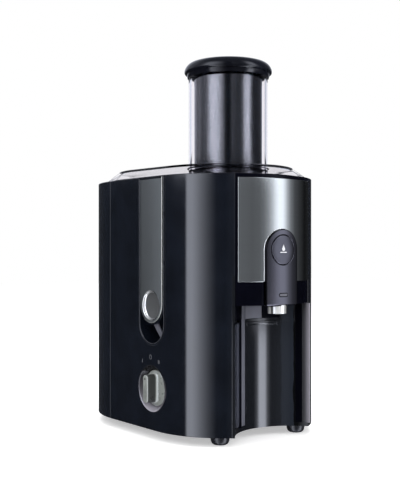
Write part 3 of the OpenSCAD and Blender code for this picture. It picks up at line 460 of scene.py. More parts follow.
# every finish under the function that makes it: colour, roughness, and what else that one takes
finishes = {
    moulded: {
        "glossBlack": ((0.0046, 0.0062, 0.0105), 0.08, 0.005, 0.3, 400),
        "noseBlack": ((0.0016, 0.0018, 0.0045), 0.16, 0.008, 0.3, 700, {"IOR": 1.14}),
        "deepBlack": ((0.0006, 0.0007, 0.0022), 0.45, 0.03, 0.3, 700, {"IOR": 1.08}),
        # grey painted as light, for a lit surface on the black bay wall
        "patchGrey": ((0.152, 0.157, 0.192), 0.50, 0.03, 0.06, 900, {"IOR": 1.3}),
        # grey standing in for highlights on black ribs
        "ribGrey": ((0.130, 0.134, 0.165), 0.40, 0.03, 0.08, 900, {"IOR": 1.3}),
        "sideRibGrey": ((0.046, 0.049, 0.068), 0.40, 0.03, 0.08, 900, {"IOR": 1.3}),
        "capBlack": ((0.0048, 0.0054, 0.0090), 0.14, 0.01, 0.3, 500, {"IOR": 1.30}),
        "pusherBlack": ((0.0040, 0.0066, 0.0110), 0.10, 0.0, 0.3, 500, {"IOR": 1.86}),
        "darkPlastic": ((0.030, 0.031, 0.036), 0.42, 0.12, 0.2, 1400),
        "buttonGrey": ((0.088, 0.087, 0.101), 0.10, 0.004, 0.05, 1600, {"Metallic": 1.0}),
        "windowGrey": ((0.10, 0.10, 0.12), 0.4, 0.05, 0.08, 1200),
        "markGrey": ((0.13, 0.135, 0.15), 0.5, 0.05, 0.08, 1500),
        "markWhite": ((0.80, 0.81, 0.84), 0.45, 0.04, 0.05, 1500),
        "rubber": ((0.010, 0.010, 0.014), 0.36, 0.12, 0.3, 1100),
        "ringBlack": ((0.0035, 0.0035, 0.0055), 0.35, 0.05, 0.3, 900, {"IOR": 1.14}),
        # a lighter grey painted as the highlight on the finger recess's edge
        "edgeGrey": ((0.030, 0.032, 0.040), 0.3, 0.03, 0.15, 900),
        "leafGrey": ((0.115, 0.118, 0.145), 0.3, 0.05, 0.2, 500),
        "carbon": ((0.02, 0.02, 0.021), 0.7, 0.3, 0.4, 900),
        # dark lines painted as shade along the clear lid's edges and creases
        "lidEdge": ((0.030, 0.027, 0.034), 0.15, 0.01, 0.2, 500)},
    brushed: {
        "steelPanel": ((0.602, 0.622, 0.598), 0.055, (30, 30, 9000), 0.012),
        "sieveSteel": ((0.62, 0.62, 0.62), 0.22, (300, 300, 1800), 0.06)},
    plainMetal: {
        # a bright painted highlight for the steel panel's edge round the arch
        "edgeSteel": ((0.90, 0.91, 0.90), 0.30, 140, 0.03, 0.8),
        "satinSilver": ((0.60, 0.61, 0.62), 0.26),
        "screwSteel": ((0.52, 0.52, 0.53), 0.28, 260, 0.05),
        "castAluminium": ((0.42, 0.43, 0.44), 0.48, 420, 0.25)},
    paintedLightAlong: {
        # painted reflection: a lighter band from 33.4 to 44.2 mm across, with painted shade just beside it
        "bayBlack": ((0.0112, 0.0138, 0.0195), 0.10, 0,
                     ((-60, 0.35), (24, 0.45), (32, 0.7), (33.4, 1.45), (44.2, 1.7), (44.8, 0.05), (50, 0.06),
                      (60, 0.3))),
        # painted highlight along the bay's right edge, lighter outwards
        "wingGrey": ((0.30, 0.29, 0.33), 0.32, 0,
                     ((50, 0.02), (51.2, 0.08), (52.4, 0.28), (53.6, 0.75), (54.6, 0.85), (57, 0.8)), {"IOR": 1.3}),
        # painted reflection: the bezel lighter low down and nearly black at the top
        "bezelGrey": ((0.46, 0.44, 0.50), 0.22, 2,
                      ((30, 1.0), (34, 0.98), (38, 0.55), (44, 0.36), (56, 0.20), (66, 0.09), (74, 0.02), (83, 0.01)),
                      {"metal": 0.2}),
        # painted sheen: lighter at the front edge, darker towards the back
        "latchSteel": ((0.128, 0.142, 0.154), 0.34, 1,
                       ((-11, 1.3), (-5, 1.02), (2, 0.86), (12, 0.72), (22, 0.60), (31, 0.55), (34, 0.40), (36, 0.22)),
                       {"metal": 0.35}),
        # painted highlight: the rim bead bright at the front, darker towards the back
        "rimSteel": ((0.80, 0.83, 0.80), 0.25, 1,
                     ((-11, 1.0), (-7, 0.85), (2, 0.45), (12, 0.2), (30, 0.1)), {"metal": 0.3}),
        # painted shade: the dish floor lighter low down, darker towards the top
        "dishFloor": ((0.094, 0.098, 0.102), 0.34, 2, ((130, 1.15), (150, 0.98), (166, 0.82)), {"metal": 0.3}),
        # painted highlight: the dish's wall and lip bright towards the back, dark at the front
        "dishWall": ((0.92, 0.93, 0.93), 0.16, 1,
                     ((-5, 0.05), (8, 0.06), (14, 0.25), (21, 0.7), (25, 1.0), (31, 1.0)), {"metal": 0.6}),
        # painted light: a highlight near the grip's top edge, a dark grip side, and a bright line where grip meets
        # disc
        "knobSilver": ((0.62, 0.66, 0.63), 0.30, 0,
                       ((-109.2, 0.20), (-108.7, 0.22), (-108.4, 0.62), (-107.9, 0.55), (-107.3, 0.115), (-103, 0.10),
                        (-98.6, 0.105), (-97.6, 0.30), (-97.0, 0.95), (-96.2, 1.0), (-95.6, 0.52), (-95.1, 0.50),
                        (-94.6, 0.62), (-93.4, 0.35)), {"metal": 0.25}),
        # painted reflection: bright and dark stripes across the outlet as seen from the camera's side
        "chrome": ((0.93, 0.94, 0.94), 0.10, 0,
                   ((40.8, 0.04), (41.9, 0.25), (42.4, 1.0), (44.0, 1.0), (44.6, 0.14), (46.6, 0.16), (47.2, 0.42),
                    (49.4, 0.62), (50.4, 1.0), (56.6, 0.98), (59.5, 0.60), (61.0, 0.35), (61.8, 0.04), (62.6, 0.02)),
                   {"turn": 37.27, "metal": 0.35})},
    # the spout block's grey with painted shade towards its outline
    edgeShaded: {"spoutGrey": ((0.104, 0.102, 0.118), 0.06, 211.0, 21.4, 22.15, 0.05)},
    striped: {
        "coreIron": ((0.11, 0.11, 0.12), 0.5, 0.7, 320, "Z", 0.55, 1.25, 0.2),
        "copperWire": ((0.50, 0.19, 0.07), 0.32, 0.9, 260, "Z", 0.5, 1.3, 0.3, 2.0),
        "copperBars": ((0.55, 0.24, 0.10), 0.3, 1.0, 120, "X", 0.6, 1.2, 0.2),
        "boardGreen": ((0.03, 0.13, 0.06), 0.4, 0.0, 90, "Z", 0.7, 1.25, 0.05, 4.0)},
    glazed: {
        "clearLid": ((0.893, 0.886, 0.912), 0.02, 1.006),
        "clearTube": ((0.955, 0.946, 0.972), 0.0, 1.05)}}
finish = {}
for make, table in finishes.items():
    for name, values in table.items():
        named = values[-1] if isinstance(values[-1], dict) else {}
        finish[name] = make(name, *[v for v in values if not isinstance(v, dict)], **named)
print("materials ready:", len(finish))


# rows of points in millimetres, each going round once, joined into a closed skin
def lofted(name, rows, loop=False):
    count, last = len(rows[0]), len(rows) - 1
    verts = [p for row in rows for p in row]
    faces = [[a * count + i, a * count + (i + 1) % count, b * count + (i + 1) % count, b * count + i]
             for a, b in [(k, k + 1) for k in range(last)] + ([(last, 0)] if loop else [])
             for i in range(count)]
    for k in () if loop else (0, last):
        verts.append([sum(p[axis] for p in rows[k]) / count for axis in range(3)])
        faces += [[k * count + i, k * count + (i + 1) % count, len(verts) - 1] for i in range(count)]
    return outward(meshFrom(name, verts, faces))


# a thin plate with a rounded border on a surface: place(u, v, rise) gives its points
def softPlate(name, place, u, v, rise, edge, steps, sink=0.3):
    def lines(low, high, count):
        border = [edge * s for s in (0, 0.12, 0.45, 1)]
        inner = [low + edge + (high - low - 2 * edge) * i / count for i in range(1, count)]
        return [low + b for b in border] + inner + [high - b for b in reversed(border)]

    us, vs = lines(*u, steps[0]), lines(*v, steps[1])
    verts = []
    for b in vs:
        for a in us:
            near = min(a - u[0], u[1] - a, b - v[0], v[1] - b) / edge
            verts.append(place(a, b, rise * sqrt(max(1 - (1 - min(near, 1)) ** 2, 0))))
    verts += [place(a, b, -sink) for b in vs for a in us]
    wide, half = len(us), len(us) * len(vs)
    faces = []
    for row in range(len(vs) - 1):
        for col in range(wide - 1):
            k = row * wide + col
            faces.append([k, k + 1, k + wide + 1, k + wide])
            faces.append([half + k, half + k + wide, half + k + wide + 1, half + k + 1])
    ring = ([k for k in range(wide)] + [r * wide + wide - 1 for r in range(1, len(vs))]
            + [half - 1 - k for k in range(1, wide)] + [r * wide for r in range(len(vs) - 2, 0, -1)])
    faces += [[a, b, b + half, a + half] for a, b in zip(ring, ring[1:] + ring[:1])]
    return outward(meshFrom(name, verts, faces))


# a round bead along a path of (u, v) points on a surface
def bead(name, place, path, radius):
    rows = []
    for k, (u, v) in enumerate(path):
        before, after = path[max(k - 1, 0)], path[min(k + 1, len(path) - 1)]
        du, dv = after[0] - before[0], after[1] - before[1]
        size = hypot(du, dv) or 1
        rows.append([place(u - dv / size * c, v + du / size * c, rise) for c, rise in circle(8, radius)])
    return lofted(name, rows)


def joined(name, objs):
    work = bmesh.new()
    for obj in objs:
        work.from_mesh(obj.data)
    mesh = bpy.data.meshes.new(name)
    work.to_mesh(mesh)
    work.free()
    for obj in objs:
        scrapped(obj)
    return newObject(name, mesh)


def scrapped(obj):
    mesh = obj.data
    bpy.data.objects.remove(obj)
    bpy.data.meshes.remove(mesh)


def roundedRect(halfU, halfV, corner, steps=8):
    out = []
    for cu, cv, start in ((1, 1, 0), (-1, 1, 90), (-1, -1, 180), (1, -1, 270)):
        out += arcPoints(cu * (halfU - corner), cv * (halfV - corner), corner, start, start + 90, steps)
    return out


def shiftedBy(x, y):
    return Matrix.Translation((x * mm, y * mm, 0))


# local axes on a side wall: first up, second towards the back, third out of the wall
def onSide(side, y, z, out=100.0):
    sign = -1 if side == "left" else 1
    return Matrix(((0, 0, sign, sign * out * mm), (0, 1, 0, y * mm), (1, 0, 0, z * mm), (0, 0, 0, 1)))


def flat(u, v, rise):
    return (u, v, rise)


# u along the bay's wall in millimetres from its right end round, v up, rise into the bay
def onBay(u, v, rise):
    r = body["bayR"] - rise
    return (r * cos(u / body["bayR"]), bayC + r * sin(u / body["bayR"]), v)


class Recipe(Tree):
    # a tree of Geometry Nodes built up node by node, with named inputs
    def __init__(self, name):
        super().__init__(bpy.data.node_groups.new(name, "GeometryNodeTree"))
        self.inputs = {}
        for way in ("INPUT", "OUTPUT"):
            self.tree.interface.new_socket("Geometry", in_out=way, socket_type="NodeSocketGeometry")
        self.source = self.tree.nodes.new("NodeGroupInput")

    def input(self, name, kind="NodeSocketFloat"):
        socket = self.tree.interface.new_socket(name, in_out="INPUT", socket_type=kind)
        self.inputs[name] = socket.identifier
        return self.source.outputs[name]

    def number(self, name):
        return self.input(name, "NodeSocketInt")

    def spot(self, x, y, z):
        return self.add("ShaderNodeCombineXYZ", x, y, z).outputs[0]

    def polar(self, radius, angle, height):
        return self.spot(*[self.times(radius, self.math(way, angle)) for way in ("COSINE", "SINE")], height)

    def moved(self, part, **values):
        node = self.add("GeometryNodeTransform", part.outputs[0])
        for socket, value in values.items():
            self.fill(node.inputs[socket], value)
        return node.outputs[0]

    def together(self, *parts):
        node = self.add("GeometryNodeJoinGeometry")
        for part in parts:
            self.fill(node.inputs[0], part)
        return node.outputs[0]

    def end(self, geometry):
        real = self.add("GeometryNodeRealizeInstances", geometry).outputs[0]
        cover = self.add("GeometryNodeSetMaterial", real, None, self.input("Material", "NodeSocketMaterial"))
        output = self.tree.nodes.new("NodeGroupOutput")
        self.fill(output.inputs[0], cover.outputs[0])


def grown(name, recipe, verts, kind, table, *plain):
    # runs a recipe on points and keeps the plain result: lengths are in millimetres, and plain
    # names the table's counts and shares
    obj = meshFrom(name, verts, [])
    modifier = obj.modifiers.new("recipe", "NODES")
    modifier.node_group = recipe.tree
    modifier[recipe.inputs["Material"]] = finish[kind]
    for key, value in table.items():
        if key in recipe.inputs:
            modifier[recipe.inputs[key]] = value if key in plain else value * mm
    return bake(obj)


print("shape helpers ready")

dressed("motor_housing", "housingShell", "housing", "gloss_black", "glossBlack", 0.7, 3)
# the bay wall's colour carries a painted reflection band and painted shade beside it
dressed("bay_wall", "bayWall", "housing", "gloss_black", "bayBlack", 0.5)
for side in ("left", "right"):
    dressed(f"latch_pocket_{side}", f"latchPocket.{side}", "housing", "gloss_black", "glossBlack", 0.8, 3)
dressed("base_plate", "basePlate", "housing", "dark_plastic", "darkPlastic")
dressed("deck_plate", "deckPlate", "housing", "dark_plastic", "darkPlastic")

feet = {"places": ((56, -55), (-56, -55), (56, 150), (-56, 150)),
        "profile": ((0, 0), (5.4, 0), (7.3, 0.35), (9.0, 1.7), (10.1, 3.9), (10.45, 6.6), (10.45, 9.98), (0, 9.98))}
pads = [placed(turnedMesh("foot", feet["profile"], 40), shiftedBy(*place)) for place in feet["places"]]
finishPiece(joined("rubberFeet", pads), "housing", "rubber", "rubber", "rubber_feet", smooth=40)

# screws under the base, each with a cross in its head and turned a little more than the one before
screws = {"places": [(x * s, y, 10.2) for x, y in ((93.4, 85.5), (89.5, -24)) for s in (1, -1)],
          "Head Radius": 3.0, "Head Height": 1.9, "Shank Radius": 1.5, "Shank Length": 16.0,
          "Cross Length": 3.6, "Cross Width": 0.85, "Cross Depth": 1.1, "turn": 0.7}
recipe = Recipe("cross-head screws")
headR, headH = recipe.input("Head Radius"), recipe.input("Head Height")
head = recipe.add("GeometryNodeMeshCylinder", 40, 1, 1, headR, headH)
cut = recipe.moved(head, Translation=recipe.spot(0.0, 0.0, recipe.times(headH, 0.5)))
long, wide = recipe.input("Cross Length"), recipe.input("Cross Width")
deep = recipe.times(recipe.input("Cross Depth"), 2)
for size in ((long, wide), (wide, long)):
    cutter = recipe.add("GeometryNodeMeshCube", recipe.spot(*size, deep)).outputs[0]
    cut = recipe.add("GeometryNodeMeshBoolean", cut, cutter, operation="DIFFERENCE", solver="EXACT").outputs[0]
shankL = recipe.input("Shank Length")
shank = recipe.add("GeometryNodeMeshCylinder", 24, 1, 1, recipe.input("Shank Radius"), shankL)
lift = recipe.plus(headH, recipe.times(shankL, 0.498))
screw = recipe.together(cut, recipe.moved(shank, Translation=recipe.spot(0.0, 0.0, lift)))
turns = recipe.times(recipe.add("GeometryNodeInputIndex").outputs[0], screws["turn"])
driven = recipe.add("GeometryNodeInstanceOnPoints", recipe.source.outputs[0], True, screw, False, 0,
                    recipe.spot(0.0, 0.0, turns))
recipe.end(driven.outputs[0])
baseScrews = grown("baseScrews", recipe, screws["places"], "screwSteel", screws)
finishPiece(baseScrews, "housing", "screw_steel", "screwSteel", "base_screws", smooth=40)
print("housing ready")

# trims of the jug bay: the angles in each, then its heights, rise, border and finish
bay = {"low": 14.2, "grooveLow": 130.0, "grooveHigh": 133.6, "top": 150.9, "edge": (54.9, -78.35),
       "edgeHalf": (1.55, 1.25)}
trims = {
    "bayCollar": ((63.4, 144.5), (bay["grooveHigh"] + 0.1, bay["top"]), 0.35, 0.3, "deepBlack"),
    # a lit surface painted in grey on the black wall
    "bayPatch": ((83.4, 106.6), (bay["grooveHigh"] + 0.5, bay["top"] - 0.2), 0.6, 0.4, "patchGrey"),
    # grey ribs whose colour stands in for highlights
    "bayRib": ((107.0, 113.5), (bay["low"] + 1.5, bay["top"] - 0.4), 1.0, 2.2, "ribGrey"),
    "baySideRib": ((119.4, 126.8), (bay["low"] + 2.5, bay["grooveLow"] + 0.6), 0.7, 1.6, "sideRibGrey"),
    "bayRim": ((66, 104.5), (126.3, bay["grooveLow"] + 0.4), 0.55, 0.5, "bayBlack"),
    "bayFill": ((48.0, 63.2), (129.6, bay["top"]), 0.5, 0.3, "bayBlack"),
    "bayShade": ((41.0, 47.7), (bay["low"], bay["top"] - 0.5), 0.75, 0.3, "deepBlack"),
    "bayGap": ((113.6, 118.5), (bay["low"], bay["top"] - 0.5), 0.3, 0.2, "deepBlack"),
    # a grey strip painted as the highlight along the bay's right edge
    "bayWing": ((35.2, 40.6), (bay["low"], bay["top"] - 0.5), 0.35, 0.3, "wingGrey")}
for name, (arc, height, rise, edge, kind) in trims.items():
    ends = [radians(turn) * body["bayR"] for turn in arc]
    piece = softPlate(name, onBay, ends, height, rise, edge, (int(arc[1] - arc[0]) // 2 + 4, 3))
    finishPiece(piece, "housing", "satin_black", kind, smooth=50)
# rounded front edge of the bay's right side, in grey with the same painted highlight as the strip beside it
edge = lofted("bayEdge", [[(bay["edge"][0] + x, bay["edge"][1] + y, z) for x, y in circle(20, *bay["edgeHalf"])]
                          for z in (bay["low"], bay["top"] - 0.6)])
finishPiece(edge, "housing", "satin_black", "wingGrey", smooth=50)
print("bay ready")

dressed("juice_collector", "juiceBowl", "collector", "gloss_black", "noseBlack", 0.5)
dressed("collector_nose", "collectorNose", "collector", "satin_black", "deepBlack", 0.6, 3)
dressed("panel_carrier", "panelCarrier", "collector", "gloss_black", "noseBlack")

# the steel panel round the spout: a fine curved sheet with an arched cut-out
panel = {"left": -51.0, "right": 53.2, "low": 176.6, "high": 288.9, "thick": 0.9, "arch": 23.2,
         "middle": 211, "edge": 0.22, "sideColumns": 22, "archColumns": 60}


def sheetColumns():
    # (x, lowest z) down the sheet: whole columns at the sides and short ones over the arch
    r, count, over = panel["arch"], panel["sideColumns"], panel["archColumns"]
    left, right = [[(low + (high - low) * i / count, panel["low"]) for i in range(count + 1)]
                   for low, high in ((panel["left"], -r), (r, panel["right"]))]
    arch = [-r * cos(pi * i / over) for i in range(over + 1)]
    return left + [(x, panel["middle"] + sqrt(max(r * r - x * x, 0))) for x in arch] + right


def sheet():
    columns, mid, high = sheetColumns(), panel["middle"], panel["high"]
    verts, faces, index, border = [], [], {}, {}

    def rounded(x, z):
        return (round(x, 4), round(z, 4))

    def corner(x, z, side):
        key = (*rounded(x, z), side)
        if key not in index:
            index[key] = len(verts)
            verts.append((x, frontAt(x, -panel["thick"] if side else 0), z))
        return index[key]

    for (x0, z0), (x1, z1) in zip(columns, columns[1:]):
        if x1 - x0 < 1e-6:
            continue
        quads = [((x0, z0), (x1, z1), (x1, high), (x0, high))]
        if z0 == z1 == panel["low"]:
            quads = [((x0, z0), (x1, z0), (x1, mid), (x0, mid)), ((x0, mid), (x1, mid), (x1, high), (x0, high))]
        for quad in quads:
            faces.append([corner(*p, 0) for p in quad])
            faces.append([corner(*p, 1) for p in reversed(quad)])
            for a, b in zip(quad, quad[1:] + quad[:1]):
                key = frozenset((rounded(*a), rounded(*b)))
                border[key] = None if key in border else (a, b)
    for pair in border.values():
        if pair and pair[0] != pair[1]:
            a, b = pair
            faces.append([corner(*b, 0), corner(*a, 0), corner(*a, 1), corner(*b, 1)])
    return outward(meshFrom("frontPanel", verts, faces))


frontPanel = sheet()
smoothBy(frontPanel, 30)
bevelled(frontPanel, panel["edge"], 3, 40)
finishPiece(frontPanel, "collector", "brushed_panel", "steelPanel", "front_panel")

# a bright bead painted as the highlight along the sheet's edge round the arch
archEdge = {"out": 23.32, "low": 177.2, "radius": 0.3}
out, low = archEdge["out"], archEdge["low"]
archPath = [(-out, low + k * (panel["middle"] - low) / 8) for k in range(8)]
archPath += [(-out * cos(radians(a)), panel["middle"] + out * sin(radians(a))) for a in range(0, 181, 5)]
archPath += [(-u, v) for u, v in archPath[7::-1]]
edge = bead("panelEdge", onFront(0), archPath, archEdge["radius"])
finishPiece(edge, "collector", "brushed_panel", "edgeSteel", smooth=60)

outlet = {"y": -85.3, "tube": ((9.0, 151.0, 0), (9.0, 141.5, 0.5), (10.7, 141.5, 0.7), (10.7, 151.0, 0)),
          "collarY": -83.2, "collar": ((9.2, 149.3), (11.9, 149.3), (12.7, 150.1), (12.7, 151.0), (9.2, 151.0))}
# the chrome outlet's bright and dark stripes are a painted reflection
pipe = turnedMesh("outletTube", roundedProfile(outlet["tube"]), 64, closed=True)
placed(pipe, shiftedBy(0, outlet["y"]))
finishPiece(pipe, "collector", "bright_chrome", "chrome", "outlet_tube", smooth=50)
collar = turnedMesh("outletCollar", outlet["collar"], 64, closed=True)
placed(collar, shiftedBy(0, outlet["collarY"]))
finishPiece(collar, "collector", "dark_plastic", "ringBlack", smooth=50)

# three short ribs under the panel, in grey that stands in for their highlights
noseRib = {"places": (-36.6, -24.2, 38.2), "half": 1.7, "heights": (169.8, 176.3), "sunk": 2.2, "rise": 1.1,
           "edge": 0.9}
for k, x in enumerate(noseRib["places"]):
    rib = softPlate(f"noseRib.{k}", onFront(-noseRib["sunk"]), (x - noseRib["half"], x + noseRib["half"]),
                    noseRib["heights"], noseRib["rise"], noseRib["edge"], (3, 3))
    finishPiece(rib, "collector", "satin_black", "sideRibGrey", smooth=40)

# the spout block: angles are round the button's middle
spout = {"half": 22.7, "proud": 2.6, "bottom": 151.05, "middle": 211, "round": 0.45, "plate": 3.9, "depth": 8.5,
         "gap": 16.65, "channel": 6.1, "channelLow": 153, "lip": ((0, 0.25), (0.25, 0), (0.45, 0))}
middle, gap, soft = spout["middle"], spout["gap"], spout["round"]


def reach(angle, half, drop):
    # from the button's middle to an outline with a round top over straight sides
    return half if sin(angle) >= 0 else min(half / max(abs(cos(angle)), 1e-6), drop / -sin(angle))


def spoutReach(angle, inset=0):
    return reach(angle, spout["half"] - inset, middle - spout["bottom"] - inset)


def channelReach(angle):
    return max(gap, reach(angle, spout["channel"], middle - spout["channelLow"]))


def frontRow(offsets, proud):
    # a ring of points round the button's middle, standing proud of the front wall
    return [(x, frontAt(x, proud), middle + z) for x, z in offsets]


corner = atan2(middle - spout["bottom"], spout["half"])
notch = atan2(spout["channel"], middle - spout["channelLow"])
spoutAngles = sorted({round(a, 5) for a in [-pi + 2 * pi * i / 144 for i in range(144)]
                      + [-corner, corner - pi, -pi / 2 - notch, -pi / 2 + notch]})


def spoutRow(reached, depth):
    return frontRow([(reached(a) * cos(a), reached(a) * sin(a)) for a in spoutAngles], spout["proud"] - depth)


rows = [spoutRow(lambda a: gap + wider, depth) for wider, depth in spout["lip"]]
rows += [spoutRow(lambda a: gap + (spoutReach(a, soft) - gap) * k / 10, 0) for k in range(1, 10)]
rows.append(spoutRow(lambda a: spoutReach(a, soft + 0.2), 0))
for turn in [t * pi / 10 for t in range(6)]:
    rows.append(spoutRow(lambda a: spoutReach(a, soft * (1 - sin(turn))), soft * (1 - cos(turn))))
rows += [spoutRow(spoutReach, spout["depth"]), spoutRow(channelReach, spout["depth"]),
         spoutRow(channelReach, spout["plate"]), spoutRow(lambda a: gap, spout["plate"] - 0.01)]
# the spout block's colour darkens towards its outline: painted shade
finishPiece(lofted("spoutBlock", rows, loop=True), "collector", "spout_grey", "spoutGrey", "spout_block", smooth=50)

# the button has a shallow dish and a dark gap round it
button = {"radius": 15.8, "proud": 2.9, "dish": 0.35, "dishR": 14, "round": 0.3, "back": 4.3,
          "rings": (0.6, 2, 4, 6, 8, 10, 12, 13.4, 14.6, 15.3),
          "gap": ((15.95, 0.9), (16.3, 0.45), (17.2, 0.27), (17.2, 1.3), (15.95, 1.3))}


def buttonRow(r, depth):
    return frontRow(circle(96, r), button["proud"] - depth)


def dished(r):
    return button["dish"] * (1 - (r / button["dishR"]) ** 2) ** 2


gapRing = lofted("buttonGap", [buttonRow(r, depth) for r, depth in button["gap"]], loop=True)
finishPiece(gapRing, "collector", "dark_plastic", "ringBlack", smooth=50)
rows = [buttonRow(r, dished(r)) for r in button["rings"]]
rows += [buttonRow(button["radius"] - button["round"] * (1 - sin(t * pi / 8)), button["round"] * (1 - cos(t * pi / 8)))
         for t in range(5)]
rows += [buttonRow(button["radius"], button["back"]), buttonRow(button["rings"][0], button["back"])]
finishPiece(lofted("spoutButton", rows), "button", "spout_grey", "buttonGrey", "spout_button", smooth=50)

# a drop over a bar on the button
drop = {"radius": 2.1, "tip": 216.8, "middle": 211.9, "barZ": 208.4, "bar": (4.6, 0.5), "rise": 0.16}
lean = degrees(atan2(sqrt((drop["tip"] - drop["middle"]) ** 2 - drop["radius"] ** 2), drop["radius"]))
dropLine = arcPoints(0, drop["middle"], drop["radius"], 90 - lean, -270 + lean, 36)
first, last, tip = dropLine[0], dropLine[-1], drop["tip"]
dropLine += [(last[0] * (1 - t), last[1] + (tip - last[1]) * t) for t in (0.33, 0.66)] + [(0, tip)]
dropLine += [(first[0] * t, tip + (first[1] - tip) * t) for t in (0.33, 0.66)]


def onButton(u, v, rise):
    r = min(hypot(u, v - middle), button["dishR"])
    return (u, frontAt(u, button["proud"] - dished(r) + rise), v)


def shifted(points, v):
    return [(a, b + v) for a, b in points]


barLine = shifted(roundedRect(*drop["bar"], 0.3, 3), drop["barZ"])
plates = [lofted(name, [[onButton(u, v, h) for u, v in line] for h in (-0.1, drop["rise"])])
          for name, line in (("drop", dropLine), ("bar", barLine))]
finishPiece(joined("dropSign", plates), "button", "mark_grey", "markWhite")

# an oblong window low on the spout, in a dark line
oblong = {"z": 162, "half": (6.4, 2.3), "line": 1.05, "rise": 0.12, "inner": 0.3, "low": -0.5}
onSpout = onFront(spout["proud"])
wide, tall = oblong["half"]
outer, inner = [shifted(roundedRect(wide - line, tall - line, tall - line, 12), oblong["z"])
                for line in (0, oblong["line"])]
ring = lofted("markLine", [[onSpout(u, v, h) for u, v in path] for path, h in
                           ((outer, oblong["low"]), (outer, oblong["rise"]), (inner, oblong["rise"]),
                            (inner, oblong["low"]))], loop=True)
finishPiece(ring, "collector", "dark_plastic", "ringBlack", "spout_mark")
window = lofted("markWindow", [[onSpout(u, v, h) for u, v in inner] for h in (oblong["low"], oblong["inner"])])
finishPiece(window, "collector", "mark_grey", "windowGrey")
print("collector, spout and button ready")

lid = {"inset": 3.5, "slope": 14.5, "rear": 81.5, "low": 293.3, "high": 305.7, "shapedFrom": 293.2,
       "slim": 4.0, "slimY": 13, "full": 3.6, "fullY": 75, "away": (54, 76), "front": (45, -15),
       "upper": (298, 305), "back": (-30, 60), "thin": 0.22, "thick": 0.35,
       "creases": ((45, 0.28), (52, 0.3), (122, 0.28), (130, 0.3)),
       "seat": ((46.4, 292.6), (48.6, 292.6), (48.9, 295.6), (46.4, 296.0))}


def eased(a, b, t):
    t = min(max((t - a) / (b - a), 0), 1)
    return t * t * (3 - 2 * t)


def spread(x, y, middleY, by):
    # moves a point away from the lid's inside
    out = hypot(x, y - middleY) or 1
    return x + by * x / out, y + by * (y - middleY) / out


def lidShape(x, y, z):
    # slimmer at the front, and fuller along the top of the sides and back; the feed tube's seat stays
    away = eased(*lid["away"], hypot(x, y))
    x, y = spread(x, y, lid["slimY"], -lid["slim"] * away * eased(*lid["front"], y))
    return (*spread(x, y, lid["fullY"], lid["full"] * away * eased(*lid["upper"], z) * eased(*lid["back"], y)), z)


def lidPiece(obj, kind, *replaced, smooth=60):
    for vertex in obj.data.vertices:
        if vertex.co.z > lid["shapedFrom"] * mm:
            vertex.co = [v * mm for v in lidShape(*[c / mm for c in vertex.co])]
    obj.data.update()
    finishPiece(obj, "lid", "clear_plastic", kind, *replaced, smooth=smooth)


def topShadeWeight(x, y):
    # the painted dark line on the top edge, shade, is heavier towards the front and right
    return min(max((y * -0.6 + x * 0.8 - 12) / 40, 0), 1)


lidPiece(newObject("lidShell", cleanCopy("lid_shell")), "clearLid", "lid_shell", smooth=26)
# an edge is a dark ring of painted shade between a thin and a thick line
for name, inset, rear, z, radius, weight in (
        ("lidTopEdge", lid["inset"] + lid["slope"] + 0.4, lid["rear"] - 4.4, lid["high"] - 0.45, 0.5, topShadeWeight),
        ("lidLowEdge", lid["inset"] + 0.5, lid["rear"] - 0.5, lid["low"] + 0.55, 0.4, lambda x, y: 0.3)):
    rows = []
    for c, up in circle(8):
        thin = bodyOutline(inset - lid["thin"] * c, rear)
        thick = bodyOutline(inset - (radius + lid["thick"]) * c, rear)
        rise = radius + lid["thick"] - lid["thin"]
        rows.append([(x + (x1 - x) * heavy, y + (y1 - y) * heavy, z + (lid["thin"] + rise * heavy) * up)
                     for (x, y), (x1, y1) in zip(thin, thick) for heavy in [weight(x, y)]])
    lidPiece(lofted(name, rows, loop=True), "lidEdge")

# creases up the lid's slope, drawn as dark lines of painted shade
lowLine = bodyOutline(lid["inset"] + 0.6, lid["rear"])
highLine = bodyOutline(lid["inset"] + lid["slope"], lid["rear"] - 4)
for k, (spot, radius) in enumerate(lid["creases"]):
    ends = ((*lowLine[spot], lid["low"] + 0.3), (*highLine[spot], lid["high"] - 0.3))
    lidPiece(lofted(f"lidCrease.{k}", [[(x + a, y + b, z) for a, b in circle(8, radius)] for x, y, z in ends]),
             "lidEdge")

tube = {"profile": ((42.9, 226, 0), (46.3, 226, 0.8), (46.3, 412.5, 0.8), (42.9, 412.5, 0.8), (42.9, 226, 0))}
feedTube = turnedMesh("feedTube", roundedProfile(tube["profile"], 5)[:-1], 128, closed=True)
finishPiece(feedTube, "lid", "clear_plastic", "clearTube", "feed_tube", smooth=50)
dressed("tube_collar", "tubeCollar", "lid", "rubber", "ringBlack", 0.3)
# dark seat of the feed tube inside the lid
finishPiece(turnedMesh("tubeSeat", lid["seat"], closed=True), "lid", "rubber", "ringBlack")

cap = {"profile": ((0, 413.4), (45.9, 413.4), (46.6, 413.0), (46.65, 411.6), (46.9, 411.35), (47.5, 411.5),
                   (48.0, 412.8), (48.3, 415.2), (48.5, 416.2), (50.3, 416.3), (50.9, 417.0), (51.25, 418.2),
                   (51.2, 419.6), (50.85, 421.1), (50.2, 422.7), (49.2, 424.4), (48.0, 425.8), (46.4, 427.2),
                   (44.5, 428.3), (42.0, 429.1), (39.0, 429.6), (35.0, 429.9), (30.0, 430.0), (18, 430.0),
                   (0, 430.0))}
pusherCap = turnedMesh("pusherCap", cap["profile"], 128)
finishPiece(pusherCap, "pusher", "gloss_black", "capBlack", "pusher_cap", smooth=40)
plunger = {"profile": ((0, 230, 0), (39.7, 230, 2.5), (39.7, 413.3, 0.3), (37.3, 413.3, 0.3), (37.3, 232.4, 1.0),
                       (0, 232.4, 0)),
           "ring": ((39.6, 403.5), (39.85, 403.5), (39.85, 413.2), (39.6, 413.2))}
